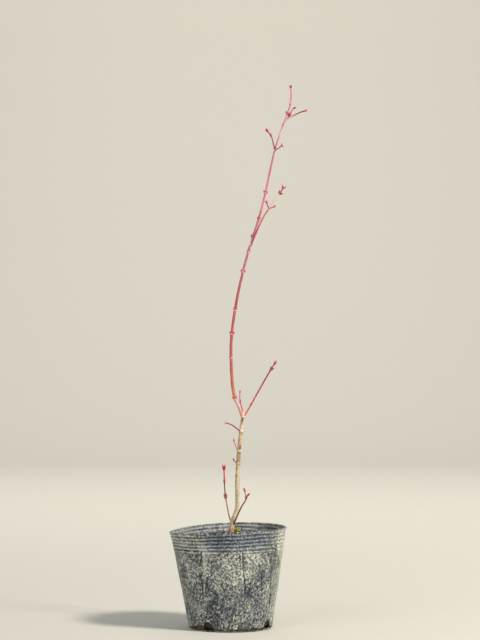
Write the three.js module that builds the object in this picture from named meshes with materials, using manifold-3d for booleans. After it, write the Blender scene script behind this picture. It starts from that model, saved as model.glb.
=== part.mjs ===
// A young Japanese maple, bare in early spring, in a soft ribbed nursery pot.
// Millimetres, +Z up. The origin is the centre of the pot's flat underside.
// The plant is seen from -Y, with +X to the right.
import * as THREE from "three";
import { mergeVertices } from "three/addons/utils/BufferGeometryUtils.js";
import Module from "manifold-3d";

const wasm = await Module();
wasm.setup();

// Clearance between pieces that touch on the real plant
const GAP = 0.3;

// Pot: a soft film pot whose filled part stands true and whose rim sags
const POT_HEIGHT = 101;
const RIM_RADIUS = 60;
const BASE_RADIUS = 42.3;
const WALL_SLOPE = 0.17;
const WALL = 0.8;
const CORNER_RADIUS = 3.5;
const LIP_HEIGHT = 1.5;
const LIP_WIDTH = 1.9;
const POT_SIDES = 40;
const LEAN_PER_MM = -0.028;
const RIM_TILT = 0.0433;
const RIM_SADDLE = 1.0;
const SAG_POWER = 4;

// Ribs pressed into the wall below the rim
const RIB_COUNT = 6;
const RIB_PITCH = 3.5;
const FIRST_RIB_BELOW_RIM = 2.9;
const RIB_HALF_WIDTH = 0.95;
const RIB_RISE = 0.5;

// Drain holes: notches through the lower corner, and round holes in the floor
const DRAIN_COUNT = 4;
const DRAIN_RADIUS = 5.6;
const DRAIN_AT_RADIUS = 40.5;
const DRAIN_AT_HEIGHT = 6;
const DRAIN_SLANT_DEG = 45;
const FIRST_DRAIN_DEG = 239;
const FLOOR_HOLE_RADIUS = 4;
const FLOOR_HOLE_AT_RADIUS = 24;
const CUTTER_LENGTH = 20;
const CUTTER_SIDES = 14;

// Potting soil: a low mound, level where the trunk stands
const SOIL_TOP = 95.5;
const SOIL_EDGE = 90.5;
const SOIL_SHOULDER = 93.8;
const LEVEL_RADIUS = 13;
const SHOULDER_RADIUS = 30;
const SOIL_CHAMFER = 5;

// Moss at the trunk's foot
const MOSS_AT = [7.2, -2.4];
const MOSS_RADIUS = 3.1;
const MOSS_HEIGHT = 8;
const MOSS_LUMPS = 7;
const MOSS_LUMP_RADIUS = 1.7;
const MOSS_DROP = 0.4;
const MOSS_SIZE_SPREAD = 0.08;
const MOSS_SIDES = 7;
const MOSS_RINGS = 5;
const GOLDEN_ANGLE = 2.4;

// Stem form: the leaf-scar collar at each node of the stem
const COLLAR_RISE = 0.2;
const COLLAR_HALF_WIDTH = 1.3;
const TWIG_SIDES = 6;
const TWIG_STEP = 4;

// Buds: opposite pairs, each pair square to the last, and one more pair at a tip
const BUD_LENGTH = 3.9;
const BUD_RADIUS = 0.85;
const BUD_SIDES = 5;
const BUD_PROFILE = [[0, -0.15], [0.55, 0], [1, 0.36], [0.62, 0.72], [0, 1]];
const COLLAR_BUDS = { leanDeg: 34, size: 1 };
const END_BUDS = { leanDeg: 30, size: 1 };
const CLOSED_BUDS = { leanDeg: 11, size: 1 };
const OPENING_BUDS = { leanDeg: 11, size: 1.5 };
const BUD_TURN_SPREAD_DEG = 8;
const BUD_LEAN_SPREAD_DEG = 4;
const BUD_SIZE_SPREAD = 0.12;
const BUD_SEAT = 0.7;
const BUD_CLEARANCE = 1.3;
const LIMB_SAMPLES = 60;
const SHOOT_TURN_DEG = 45;
const SEED = 452;

// Trunk: flat cut on the soil, root flare, taper and lean, to the fork
const TRUNK = {
  path: [
    [0.8, 0, SOIL_TOP - 2],
    [1.7, 0, 106.8],
    [6.3, 0, 121],
    [6.6, 0.4, 148],
    [7.9, 2, 173.5],
    [10.4, 4, 199.4],
    [12.6, 4, 217.4],
  ],
  foot: 2.55,
  tip: 1.75,
  collarHeights: [166.8, 179.5, 199.4, 215],
  bareCollars: [0, 1, 2, 3],
  sides: 10,
  step: 5,
  flare: { rise: 2.1, height: 3.2, lobes: 4, lobeShare: 0.22 },
};

// Leader: one tapering limb from the fork to the top twigs
const LEADER = {
  path: [
    [12.2, 4, 213.4],
    [9, 3, 222.8],
    [3.3, 1.4, 237],
    [0.3, -3, 272],
    [1.1, -6, 300],
    [7.8, -5, 342.5],
    [17.6, -2, 382.3],
    [28.2, 0, 415.9],
    [35.3, 2, 443.1],
    [45, 4, 487.5],
    [53.8, 4, 514.4],
  ],
  foot: 1.72,
  tip: 0.82,
  collarHeights: [232.6, 274.7, 298.8, 323, 361.9, 382.3, 397.3, 415.9, 443.1, 487.5],
  bareCollars: [9],
  sides: 7,
  step: 8,
  phase: 35,
};

// Boughs: a side bough from the trunk's fork, and an upper one from the leader
const SIDE_BOUGH = {
  path: [
    [12.7, 4, 214.2],
    [16.3, 3, 219.5],
    [21.9, 2, 229.2],
    [31, 0, 245.7],
    [39.4, -3, 260.5],
  ],
  foot: 0.85,
  tip: 0.75,
  collars: [0.27],
  collarBuds: CLOSED_BUDS,
  sides: 7,
  step: 5,
  phase: 100,
};
const UPPER_BOUGH = {
  path: [
    [19.6, -1.4, 388],
    [22, -2.4, 393.5],
    [32.6, -8, 417],
    [38.5, -9, 426.3],
  ],
  foot: 0.95,
  tip: 0.8,
  collars: [],
  sides: 7,
  step: 5,
  phase: 60,
};
const LIMBS = { trunk: TRUNK, leader: LEADER, side_bough: SIDE_BOUGH, upper_bough: UPPER_BOUGH };

// Twig masses: each one stem, with its shoots sunk into it at its collars
const MASSES = {
  top_twigs: {
    path: [[54, 4, 515], [57.4, 2, 523.9], [60.7, 0, 533.6], [61.7, -1, 543.6], [61.3, -1.8, 550.8]],
    foot: 0.76,
    tip: 0.66,
    collars: [0.27, 0.54],
    endBuds: { leanDeg: 13, size: 0.9 },
    phase: 25,
    shoots: [
      {
        path: [[54.1, 4, 515.4], [59, 8, 522], [62.5, 11, 528.6], [64.6, 12.6, 531.2]],
        foot: 0.62,
        collars: [0.5],
      },
      {
        path: [[58.6, 7.7, 521.2], [64.9, 5, 523.6], [71.6, 1, 526.3], [75.6, -1.4, 527.2]],
        foot: 0.6,
        collars: [0.4],
        endBuds: CLOSED_BUDS,
      },
    ],
  },
  upper_bough_twigs: {
    path: [[38.8, -9, 426.7], [43.6, -10, 434.4], [49.7, -10, 441.8], [52.9, -11, 447.4]],
    foot: 0.76,
    tip: 0.62,
    collars: [0.73],
    endBuds: { leanDeg: 34, size: 1.1 },
    phase: 15,
    shoots: [
      { path: [[39.1, -9, 427.2], [37.6, -8.4, 429.4], [36.8, -7.4, 432.6]], foot: 0.58, collars: [] },
      { path: [[39.1, -9, 427.2], [41.6, -10.6, 427.6], [43.9, -12.2, 428.6]], foot: 0.58, collars: [] },
    ],
  },
  middle_left_twigs: {
    path: [[45.1, 4, 487.6], [43.6, 6, 494.2], [41.4, 9, 502.8], [38.2, 11, 507.2]],
    foot: 0.68,
    tip: 0.56,
    collars: [0.72],
    endBuds: { leanDeg: 10, size: 1.2 },
    phase: 50,
  },
  middle_right_twigs: {
    path: [[45.1, 4, 487.6], [48.6, 1.6, 489.2], [51.8, -0.6, 491.6]],
    foot: 0.66,
    tip: 0.58,
    collars: [],
    phase: 10,
  },
  side_bough_twigs: {
    path: [[39.6, -3.1, 260.9], [42.7, -4, 265.9], [44.3, -4.5, 268.3]],
    foot: 0.72,
    tip: 0.6,
    collars: [0.22],
    collarBuds: { leanDeg: 22, size: 1.1 },
    endBuds: { leanDeg: 10, size: 1.25 },
    phase: 30,
  },
  rear_twig: {
    path: [[12.4, 4.4, 212.4], [11.9, 7.4, 220.2], [9.8, 14, 228.3], [9.1, 20, 234.4], [9.4, 24, 238.8]],
    foot: 0.7,
    tip: 0.58,
    collars: [0.6],
    collarBuds: { leanDeg: 20, size: 0.8 },
    endBuds: CLOSED_BUDS,
    phase: 80,
  },
  left_twig: {
    path: [[10.2, 4, 198.9], [5, 0, 203.4], [0.3, -4, 206.8], [-4, -7.4, 208.4]],
    foot: 0.72,
    tip: 0.6,
    collars: [],
    endBuds: CLOSED_BUDS,
    phase: 0,
  },
  low_rear_twig: {
    path: [[8.3, 3, 178.6], [6.4, 9, 181.6], [4.8, 14, 184.6], [3.4, 19, 189]],
    foot: 0.7,
    tip: 0.58,
    collars: [],
    endBuds: CLOSED_BUDS,
    phase: 70,
  },
  low_left_twig: {
    path: [[6.9, 2, 166.2], [4.4, 6, 168.2], [3.3, 9, 169.6]],
    foot: 0.6,
    tip: 0.5,
    collars: [],
    endBuds: CLOSED_BUDS,
    phase: 15,
  },
  left_basal_shoot: {
    path: [
      [1.9, -0.3, 104],
      [-1.3, -1, 112.2],
      [-3.7, -3, 123.8],
      [-5.6, -5, 134.9],
      [-6.6, -7, 151],
      [-6.9, -7.9, 160.9],
    ],
    foot: 0.78,
    tip: 0.62,
    collars: [0.5, 0.78],
    collarBuds: OPENING_BUDS,
    endBuds: OPENING_BUDS,
    phase: 20,
  },
  right_basal_shoot: {
    path: [
      [1.9, -0.6, 102.5],
      [6.8, -6, 114.6],
      [11.7, -9, 125],
      [15, -10, 130.1],
      [15.6, -10, 133.3],
      [14.4, -9, 139],
    ],
    foot: 0.85,
    tip: 0.62,
    collars: [0.82],
    collarBuds: { leanDeg: 20, size: 0.8 },
    endBuds: CLOSED_BUDS,
    phase: 55,
    shoots: [
      {
        path: [[15.5, -10, 132.6], [16.5, -10.5, 134], [17.4, -10.9, 135.2]],
        foot: 0.62,
        collars: [],
        endBuds: CLOSED_BUDS,
      },
    ],
  },
};

const FINISH = {
  pot: { color: 0x3f4548, roughness: 0.62, metalness: 0 },
  soil: { color: 0x4a3a2b, roughness: 0.95, metalness: 0 },
  moss: { color: 0x8c8a1e, roughness: 0.9, metalness: 0 },
  bark: { color: 0xb9a27a, roughness: 0.75, metalness: 0 },
  leader: { color: 0xb4505c, roughness: 0.5, metalness: 0 },
  twig: { color: 0xb23c52, roughness: 0.5, metalness: 0 },
};

const plant = new THREE.Group();
const radians = THREE.MathUtils.degToRad;
const lerp = THREE.MathUtils.lerp;
const X_AXIS = new THREE.Vector3(1, 0, 0);
const Y_AXIS = new THREE.Vector3(0, 1, 0);
const MERGE_WITHIN = 1e-4;

// Seeded draws, so that every build gives the same plant
let drawState = SEED;
function draw(low, high) {
  drawState = (Math.imul(drawState, 1664525) + 1013904223) >>> 0;
  return low + ((high - low) * drawState) / 2 ** 32;
}

// A closed solid from a three.js geometry
function solidFrom(geometry) {
  const bare = geometry.clone();
  bare.deleteAttribute("normal");
  bare.deleteAttribute("uv");
  const merged = mergeVertices(bare, MERGE_WITHIN);
  return new wasm.Manifold(
    new wasm.Mesh({
      numProp: 3,
      vertProperties: merged.attributes.position.array,
      triVerts: new Uint32Array(merged.index.array),
    }),
  );
}

function geometryFrom(solid) {
  const { vertProperties, triVerts } = solid.getMesh();
  const geometry = new THREE.BufferGeometry();
  geometry.setAttribute("position", new THREE.BufferAttribute(vertProperties, 3));
  geometry.setIndex(new THREE.BufferAttribute(triVerts, 1));
  return geometry;
}

function addPiece(name, geometry, finish) {
  geometry.computeVertexNormals();
  const mesh = new THREE.Mesh(geometry, new THREE.MeshStandardMaterial(finish));
  mesh.name = name;
  plant.add(mesh);
}

// What a cut leaves is the largest body: a scrap beyond the carrier is dropped
function largestBody(solid) {
  return solid.decompose().reduce((best, body) => (body.volume() > best.volume() ? body : best));
}

// The soft pot's set: it leans evenly, and its rim tilts and bows above the soil
function settle(geometry) {
  const position = geometry.attributes.position;
  for (let i = 0; i < position.count; i++) {
    const [x, y, z] = [position.getX(i), position.getY(i), position.getZ(i)];
    const outward = THREE.MathUtils.smoothstep(Math.hypot(x, y), LEVEL_RADIUS + 1, BASE_RADIUS);
    const sag = outward * (z / POT_HEIGHT) ** SAG_POWER;
    const bow = -RIM_SADDLE * Math.cos(2 * Math.atan2(y, x));
    position.setXYZ(i, x + LEAN_PER_MM * z, y, z + sag * (RIM_TILT * x + bow));
  }
  return geometry;
}

function lathe(profile) {
  const points = profile.map(([radius, height]) => new THREE.Vector2(radius, height));
  return new THREE.LatheGeometry(points, POT_SIDES).rotateX(Math.PI / 2);
}

const wallRadius = (height) => BASE_RADIUS + WALL_SLOPE * height;

// One face of the pot's wall, from the floor's corner to the lip
function wallFace(inset) {
  const face = [];
  const corner = CORNER_RADIUS - inset;
  const centre = [wallRadius(CORNER_RADIUS) - CORNER_RADIUS, CORNER_RADIUS];
  for (const degrees of [-90, -60, -30, 0]) {
    const angle = radians(degrees);
    face.push([centre[0] + corner * Math.cos(angle), centre[1] + corner * Math.sin(angle)]);
  }
  for (let rib = RIB_COUNT - 1; rib >= 0; rib--) {
    const height = POT_HEIGHT - FIRST_RIB_BELOW_RIM - rib * RIB_PITCH;
    face.push([wallRadius(height - RIB_HALF_WIDTH) - inset, height - RIB_HALF_WIDTH]);
    face.push([wallRadius(height) - inset + RIB_RISE, height]);
    face.push([wallRadius(height + RIB_HALF_WIDTH) - inset, height + RIB_HALF_WIDTH]);
  }
  return face;
}

function potProfile() {
  const lipInner = RIM_RADIUS - LIP_WIDTH;
  const lip = [
    [RIM_RADIUS, POT_HEIGHT - LIP_HEIGHT],
    [RIM_RADIUS, POT_HEIGHT - LIP_HEIGHT / 3],
    [RIM_RADIUS - LIP_WIDTH / 3, POT_HEIGHT],
    [lipInner, POT_HEIGHT],
  ];
  return [[0, 0], ...wallFace(0), ...lip, ...wallFace(WALL).reverse(), [0, WALL]];
}

// Cutters for the drain holes, each a round bar through the film
function drainCutters() {
  const cutters = [];
  const bar = (radius) => new THREE.CylinderGeometry(radius, radius, CUTTER_LENGTH, CUTTER_SIDES);
  for (let k = 0; k < DRAIN_COUNT; k++) {
    const corner = bar(DRAIN_RADIUS).rotateX(Math.PI / 2).rotateY(radians(-DRAIN_SLANT_DEG));
    corner.translate(DRAIN_AT_RADIUS, 0, DRAIN_AT_HEIGHT);
    corner.rotateZ(radians(FIRST_DRAIN_DEG + (k * 360) / DRAIN_COUNT));
    const floor = bar(FLOOR_HOLE_RADIUS).rotateX(Math.PI / 2).translate(FLOOR_HOLE_AT_RADIUS, 0, 0);
    floor.rotateZ(radians(FIRST_DRAIN_DEG + ((k + 0.5) * 360) / DRAIN_COUNT));
    cutters.push(corner, floor);
  }
  return cutters;
}

function addPot() {
  let shell = solidFrom(lathe(potProfile()));
  for (const cutter of drainCutters()) shell = shell.subtract(solidFrom(cutter));
  addPiece("pot", settle(geometryFrom(shell)), FINISH.pot);
}

function addSoil() {
  const side = (height) => wallRadius(height) - WALL - GAP;
  const floor = WALL + GAP;
  const profile = [
    [0, floor],
    [side(floor) - SOIL_CHAMFER, floor],
    [side(floor + SOIL_CHAMFER), floor + SOIL_CHAMFER],
    [side(SOIL_EDGE / 2), SOIL_EDGE / 2],
    [side(SOIL_EDGE), SOIL_EDGE],
    [SHOULDER_RADIUS, SOIL_SHOULDER],
    [LEVEL_RADIUS, SOIL_TOP],
    [0, SOIL_TOP],
  ];
  addPiece("potting_soil", settle(lathe(profile)), FINISH.soil);
}

// The smooth curve of a limb through its bends
function curveOf(path) {
  const bends = path.map((point) => new THREE.Vector3(...point));
  return new THREE.CatmullRomCurve3(bends, false, "centripetal");
}

// The station, from 0 at the foot to 1 at the tip, where a rising limb reaches a height
function stationAtHeight(curve, height) {
  let [low, high] = [0, 1];
  while (high - low > 1e-4) {
    const middle = (low + high) / 2;
    if (curve.getPointAt(middle).z < height) low = middle;
    else high = middle;
  }
  return low;
}

// Side directions at a station: two unit vectors square to the limb
function squareTo(curve, station) {
  const along = curve.getTangentAt(station);
  const reference = Math.abs(along.y) < 0.8 ? Y_AXIS : X_AXIS;
  const side = new THREE.Vector3().crossVectors(along, reference).normalize();
  const front = new THREE.Vector3().crossVectors(side, along);
  return { along, side, front };
}

// Ring stations: an even step along the limb, closer where a collar swells it
function ringStations(length, collars, step) {
  const stations = new Set([0, 1]);
  const count = Math.ceil(length / step);
  const reach = COLLAR_HALF_WIDTH / length;
  const nearCollar = (s) => collars.some((c) => Math.abs(c - s) < 2 * reach);
  for (let k = 1; k < count; k++) if (!nearCollar(k / count)) stations.add(k / count);
  for (const collar of collars) {
    for (const shift of [-1, 0, 1]) {
      const station = collar + shift * reach;
      if (station > 0 && station < 1) stations.add(station);
    }
  }
  return [...stations].sort((a, b) => a - b);
}

// A round bar bent along a curve, with its own radius at each ring and angle
function bentBar(curve, stations, sides, radiusAt) {
  const geometry = new THREE.CylinderGeometry(1, 1, 1, sides, stations.length - 1);
  const position = geometry.attributes.position;
  const point = new THREE.Vector3();
  for (let i = 0; i < position.count; i++) {
    const ring = Math.round((position.getY(i) + 0.5) * (stations.length - 1));
    const station = stations[ring];
    const { side, front } = squareTo(curve, station);
    const angle = Math.atan2(position.getZ(i), position.getX(i));
    const radius = radiusAt(station, angle);
    point.copy(curve.getPointAt(station));
    point.addScaledVector(side, radius * position.getX(i));
    point.addScaledVector(front, radius * position.getZ(i));
    position.setXYZ(i, point.x, point.y, point.z);
  }
  return geometry;
}

// Root flare: lobes that widen the trunk's foot and fade out above it
function rootFlare(flare, distance, angle) {
  const fade = Math.exp(-distance / flare.height);
  return flare.rise * fade * (1 + flare.lobeShare * Math.cos(flare.lobes * angle));
}

function collarsOf(spec, curve) {
  return spec.collars ?? spec.collarHeights.map((height) => stationAtHeight(curve, height));
}

// A stem's solid, grown outwards by extra where it serves as a cutter
function stemSolid(spec, extra = 0) {
  const curve = curveOf(spec.path);
  const length = curve.getLength();
  const collars = collarsOf(spec, curve);
  const radiusAt = (station, angle) => {
    const swell = collars.includes(station) ? 1 + COLLAR_RISE : 1;
    const flare = spec.flare ? rootFlare(spec.flare, station * length, angle) : 0;
    return lerp(spec.foot, spec.tip, station) * swell + flare + extra;
  };
  const stations = ringStations(length, collars, spec.step ?? TWIG_STEP);
  if (spec.flare) stations.splice(1, 0, spec.flare.height / 2 / length);
  return solidFrom(bentBar(curve, stations, spec.sides ?? TWIG_SIDES, radiusAt));
}

// A bud: a pointed drop whose root is sunk into the stem
function budSolid(anchor, direction, length) {
  const radius = BUD_RADIUS * Math.sqrt(length / BUD_LENGTH);
  const profile = BUD_PROFILE.map(([out, up]) => new THREE.Vector2(out * radius, up * length));
  const geometry = new THREE.LatheGeometry(profile, BUD_SIDES);
  geometry.applyQuaternion(new THREE.Quaternion().setFromUnitVectors(Y_AXIS, direction));
  return solidFrom(geometry.translate(anchor.x, anchor.y, anchor.z));
}

// A pair of opposite buds on a stem of the given radius, of a given lean and size
function budPair(curve, station, radius, phase, { leanDeg, size }, own) {
  const { along, side, front } = squareTo(curve, station);
  const at = curve.getPointAt(station);
  return [0, 180].flatMap((half) => {
    const turn = radians(phase + half + draw(-BUD_TURN_SPREAD_DEG, BUD_TURN_SPREAD_DEG));
    const lean = radians(leanDeg + draw(-BUD_LEAN_SPREAD_DEG, BUD_LEAN_SPREAD_DEG));
    const length = BUD_LENGTH * size * draw(1 - BUD_SIZE_SPREAD, 1 + BUD_SIZE_SPREAD);
    const outward = side.clone().multiplyScalar(Math.cos(turn)).addScaledVector(front, Math.sin(turn));
    const direction = along.clone().multiplyScalar(Math.cos(lean)).addScaledVector(outward, Math.sin(lean));
    const anchor = at.clone().addScaledVector(outward, BUD_SEAT * radius);
    const middle = anchor.clone().addScaledVector(direction, length / 2);
    return touchesLimb(middle, own) ? [] : [budSolid(anchor, direction, length)];
  });
}

// A bud that would touch a limb other than its own is left out
const limbPoints = Object.entries(LIMBS).map(([name, limb]) => {
  const points = curveOf(limb.path).getSpacedPoints(LIMB_SAMPLES);
  return { name, points, reach: limb.foot + BUD_CLEARANCE };
});
function touchesLimb(point, own) {
  return limbPoints.some(({ name, reach, points }) => {
    return name !== own && points.some((p) => p.distanceTo(point) < reach);
  });
}

// Buds of a stem: a pair at each collar, unless it is bare, and a pair at the tip of a twig
function budsOf(spec, own) {
  const curve = curveOf(spec.path);
  const buds = [];
  collarsOf(spec, curve).forEach((station, k) => {
    if (spec.bareCollars?.includes(k)) return;
    const radius = lerp(spec.foot, spec.tip, station);
    const form = spec.collarBuds ?? COLLAR_BUDS;
    buds.push(...budPair(curve, station, radius, spec.phase + 90 * k, form, own));
  });
  const endForm = spec.endBuds ?? END_BUDS;
  if (!(own in LIMBS)) buds.push(...budPair(curve, 1, spec.tip / 2, spec.phase, endForm, own));
  return buds;
}

const joined = (solids) => solids.reduce((whole, solid) => whole.add(solid));

// Limbs so far, each wider by the gap: later pieces are cut clear of them
const cutters = {};

function addLimb(name, finish) {
  const spec = LIMBS[name];
  let solid = joined([stemSolid(spec), ...budsOf(spec, name)]);
  for (const carrier of Object.values(cutters)) solid = solid.subtract(carrier);
  if (spec.flare) solid = cutLevel(solid);
  cutters[name] = stemSolid(spec, GAP);
  addPiece(name, geometryFrom(largestBody(solid)), finish);
}

// A mass: its stem, the shoots sunk into it, and their buds
function addMass(name, spec) {
  const shared = { tip: spec.tip, phase: spec.phase + SHOOT_TURN_DEG };
  const shoots = (spec.shoots ?? []).map((shoot) => ({ ...shared, ...shoot }));
  let solid = joined([spec, ...shoots].flatMap((stem) => [stemSolid(stem), ...budsOf(stem, name)]));
  for (const carrier of Object.values(cutters)) solid = solid.subtract(carrier);
  addPiece(name, geometryFrom(largestBody(solid)), FINISH.twig);
}

// What stands on the soil is cut level, just clear of it
function cutLevel(solid) {
  const below = new THREE.BoxGeometry(RIM_RADIUS, RIM_RADIUS, SOIL_TOP);
  return solid.subtract(solidFrom(below.translate(0, 0, SOIL_TOP / 2 + GAP)));
}

// Moss: a cushion of small lumps, clear of the trunk
function addMoss() {
  const lumps = [];
  for (let k = 0; k < MOSS_LUMPS; k++) {
    const turn = k * GOLDEN_ANGLE;
    const out = (MOSS_RADIUS - MOSS_LUMP_RADIUS) * Math.sqrt(k / (MOSS_LUMPS - 1));
    const high = MOSS_HEIGHT * (1 - MOSS_DROP * (k / MOSS_LUMPS) ** 2) * draw(1 - MOSS_SIZE_SPREAD, 1);
    const lump = new THREE.SphereGeometry(1, MOSS_SIDES, MOSS_RINGS).rotateX(Math.PI / 2);
    lump.scale(MOSS_LUMP_RADIUS, MOSS_LUMP_RADIUS, high);
    lump.translate(MOSS_AT[0] + out * Math.cos(turn), MOSS_AT[1] + out * Math.sin(turn), SOIL_TOP);
    lumps.push(solidFrom(lump));
  }
  const cushion = cutLevel(joined(lumps)).subtract(cutters.trunk);
  addPiece("moss_tuft", geometryFrom(largestBody(cushion)), FINISH.moss);
}

addPot();
addSoil();
addLimb("trunk", FINISH.bark);
addMoss();
addLimb("leader", FINISH.leader);
addLimb("side_bough", FINISH.twig);
addLimb("upper_bough", FINISH.twig);
for (const [name, spec] of Object.entries(MASSES)) addMass(name, spec);

export default plant;
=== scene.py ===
# A young Japanese maple, bare in early spring, in a soft ribbed nursery pot.
# Sizes are in millimetres until a piece is made. +Z is up, and the front faces -Y.
import math

import bmesh
import bpy
import numpy as np
from mathutils import Matrix, Vector, noise


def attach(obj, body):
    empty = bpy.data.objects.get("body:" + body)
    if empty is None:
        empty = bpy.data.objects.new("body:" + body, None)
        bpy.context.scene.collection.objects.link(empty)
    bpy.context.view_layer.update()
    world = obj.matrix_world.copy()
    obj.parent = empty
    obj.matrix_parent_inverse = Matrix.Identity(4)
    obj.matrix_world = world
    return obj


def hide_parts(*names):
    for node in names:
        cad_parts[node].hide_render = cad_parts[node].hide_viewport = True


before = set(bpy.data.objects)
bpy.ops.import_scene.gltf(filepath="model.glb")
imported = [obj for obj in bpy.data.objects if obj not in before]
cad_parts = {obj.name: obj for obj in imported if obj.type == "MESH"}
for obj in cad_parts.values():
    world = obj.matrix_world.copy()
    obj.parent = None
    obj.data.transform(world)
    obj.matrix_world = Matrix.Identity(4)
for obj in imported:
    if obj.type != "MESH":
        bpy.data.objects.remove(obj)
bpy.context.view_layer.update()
MM = 0.001

# Camera: the pinhole that fits the photo, and its frame in pixels
CAMERA_AT = (9.35, -2146, 285)
CAMERA_PITCH_DEG = 0.76
FOCAL_PIXELS = 2100
FRAME_HEIGHT_PIXELS = 640
SENSOR = 36

# Pot, as in the solid: a film pot whose rim tilts and bows above the soil
POT_HEIGHT = 101
RIM_RADIUS = 60
BASE_RADIUS = 42.3
WALL_SLOPE = 0.17
WALL = 0.8
CORNER_RADIUS = 3.5
LIP_HEIGHT = 1.5
LIP_WIDTH = 1.9
LEAN_PER_MM = -0.028
RIM_TILT = 0.0433
RIM_SADDLE = 1.0
SAG_POWER = 4
RIB_COUNT = 6
RIB_PITCH = 3.5
FIRST_RIB_BELOW_RIM = 2.9
RIB_HALF_WIDTH = 0.95
RIB_DEPTH = 0.85
RIB_GROOVE = 0.35
DRAIN_COUNT = 4
DRAIN_RADIUS = 5.6
DRAIN_AT_RADIUS = 40.5
DRAIN_AT_HEIGHT = 6
DRAIN_SLANT_DEG = 45
FIRST_DRAIN_DEG = 239
FLOOR_HOLE_RADIUS = 4
FLOOR_HOLE_AT_RADIUS = 24
CUTTER_LENGTH = 20
POT_SIDES = 360

# Soil and moss, as in the solids
SOIL_TOP = 95.5
SOIL_EDGE = 90.5
SOIL_SHOULDER = 93.8
LEVEL_RADIUS = 13
SHOULDER_RADIUS = 30
GAP = 0.3
MOSS_AT = (7.2, -2.4)
MOSS_RADIUS = 3.1
MOSS_HEIGHT = 8
MOSS_LUMPS = 7
MOSS_LUMP_RADIUS = 1.7
MOSS_DROP = 0.4
MOSS_SIZE_SPREAD = 0.08
GOLDEN_ANGLE = 2.4

# Buds, as in the solids: their lean in degrees from the stem, and their size over the usual one
BUD_LENGTH = 3.9
BUD_RADIUS = 0.85
COLLAR_BUDS = dict(lean=34, size=1)
END_BUDS = dict(lean=30, size=1)
CLOSED_BUDS = dict(lean=11, size=1)
OPENING_BUDS = dict(lean=11, size=1.5)
BUD_TURN_SPREAD_DEG = 8
BUD_LEAN_SPREAD_DEG = 4
BUD_SIZE_SPREAD = 0.12
BUD_SEAT = 0.7
BUD_CLEARANCE = 1.3
SHOOT_TURN_DEG = 45
SEED = 452

# Old scars on the trunk: height, angle round it (270 is the front), half length and half width
TRUNK_WOUNDS = [
    (211.3, 265, 3.3, 0.9), (183.2, 250, 3.2, 1.05), (161, 325, 0.9, 0.7), (154.6, 307, 0.8, 0.7),
    (151.7, 322, 0.7, 0.6), (139, 280, 0.6, 0.4), (190.5, 285, 0.5, 0.4), (131, 40, 2.4, 0.6),
    (173, 95, 2.2, 0.6),
]
WOUND_DEPTH = 0.22
WOUND_EDGE = (0.7, 1.15)

# Short dead stubs on the trunk: height, angle, length and radius
TRUNK_STUBS = [
    (166.6, 197, 2.0, 0.45), (199.8, 206, 2.2, 0.6), (179.6, 20, 1.2, 0.5), (199.2, 105, 1.5, 0.5),
]

# Stems, as in the solids: the bends of the middle line, and the radius at the foot and at the tip. A mass
# lists its main stem and then the shoots on it, which take what they don't say from the main stem.
# A collar, the scar of an old pair of leaves, is placed by its height or by its share of the length.
# Tints go from foot to tip: of the lengths between collars, where the last goes on, and of the pairs of buds.
LIMBS = {
    "trunk": dict(
        path=[
            (0.8, 0, 93.5), (1.7, 0, 106.8), (6.3, 0, 121), (6.6, 0.4, 148), (7.9, 2, 173.5),
            (10.4, 4, 199.4), (12.6, 4, 217.4),
        ],
        foot=2.55, tip=1.75, collar_heights=[166.8, 179.5, 199.4, 215], wounds=TRUNK_WOUNDS,
    ),
    "leader": dict(
        path=[
            (12.2, 4, 213.4), (9, 3, 222.8), (3.3, 1.4, 237), (0.3, -3, 272), (1.1, -6, 300),
            (7.8, -5, 342.5), (17.6, -2, 382.3), (28.2, 0, 415.9), (35.3, 2, 443.1), (45, 4, 487.5),
            (53.8, 4, 514.4),
        ],
        foot=1.72, tip=0.82, phase=35, bare_collars=[9],
        collar_heights=[232.6, 274.7, 298.8, 323, 361.9, 382.3, 397.3, 415.9, 443.1, 487.5],
    ),
    "side_bough": dict(
        path=[(12.7, 4, 214.2), (16.3, 3, 219.5), (21.9, 2, 229.2), (31, 0, 245.7), (39.4, -3, 260.5)],
        foot=0.85, tip=0.75, collars=[0.27], collar_buds=CLOSED_BUDS, phase=100,
    ),
    "upper_bough": dict(
        path=[(19.6, -1.4, 388), (22, -2.4, 393.5), (32.6, -8, 417), (38.5, -9, 426.3)], foot=0.95, tip=0.8,
    ),
}
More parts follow.
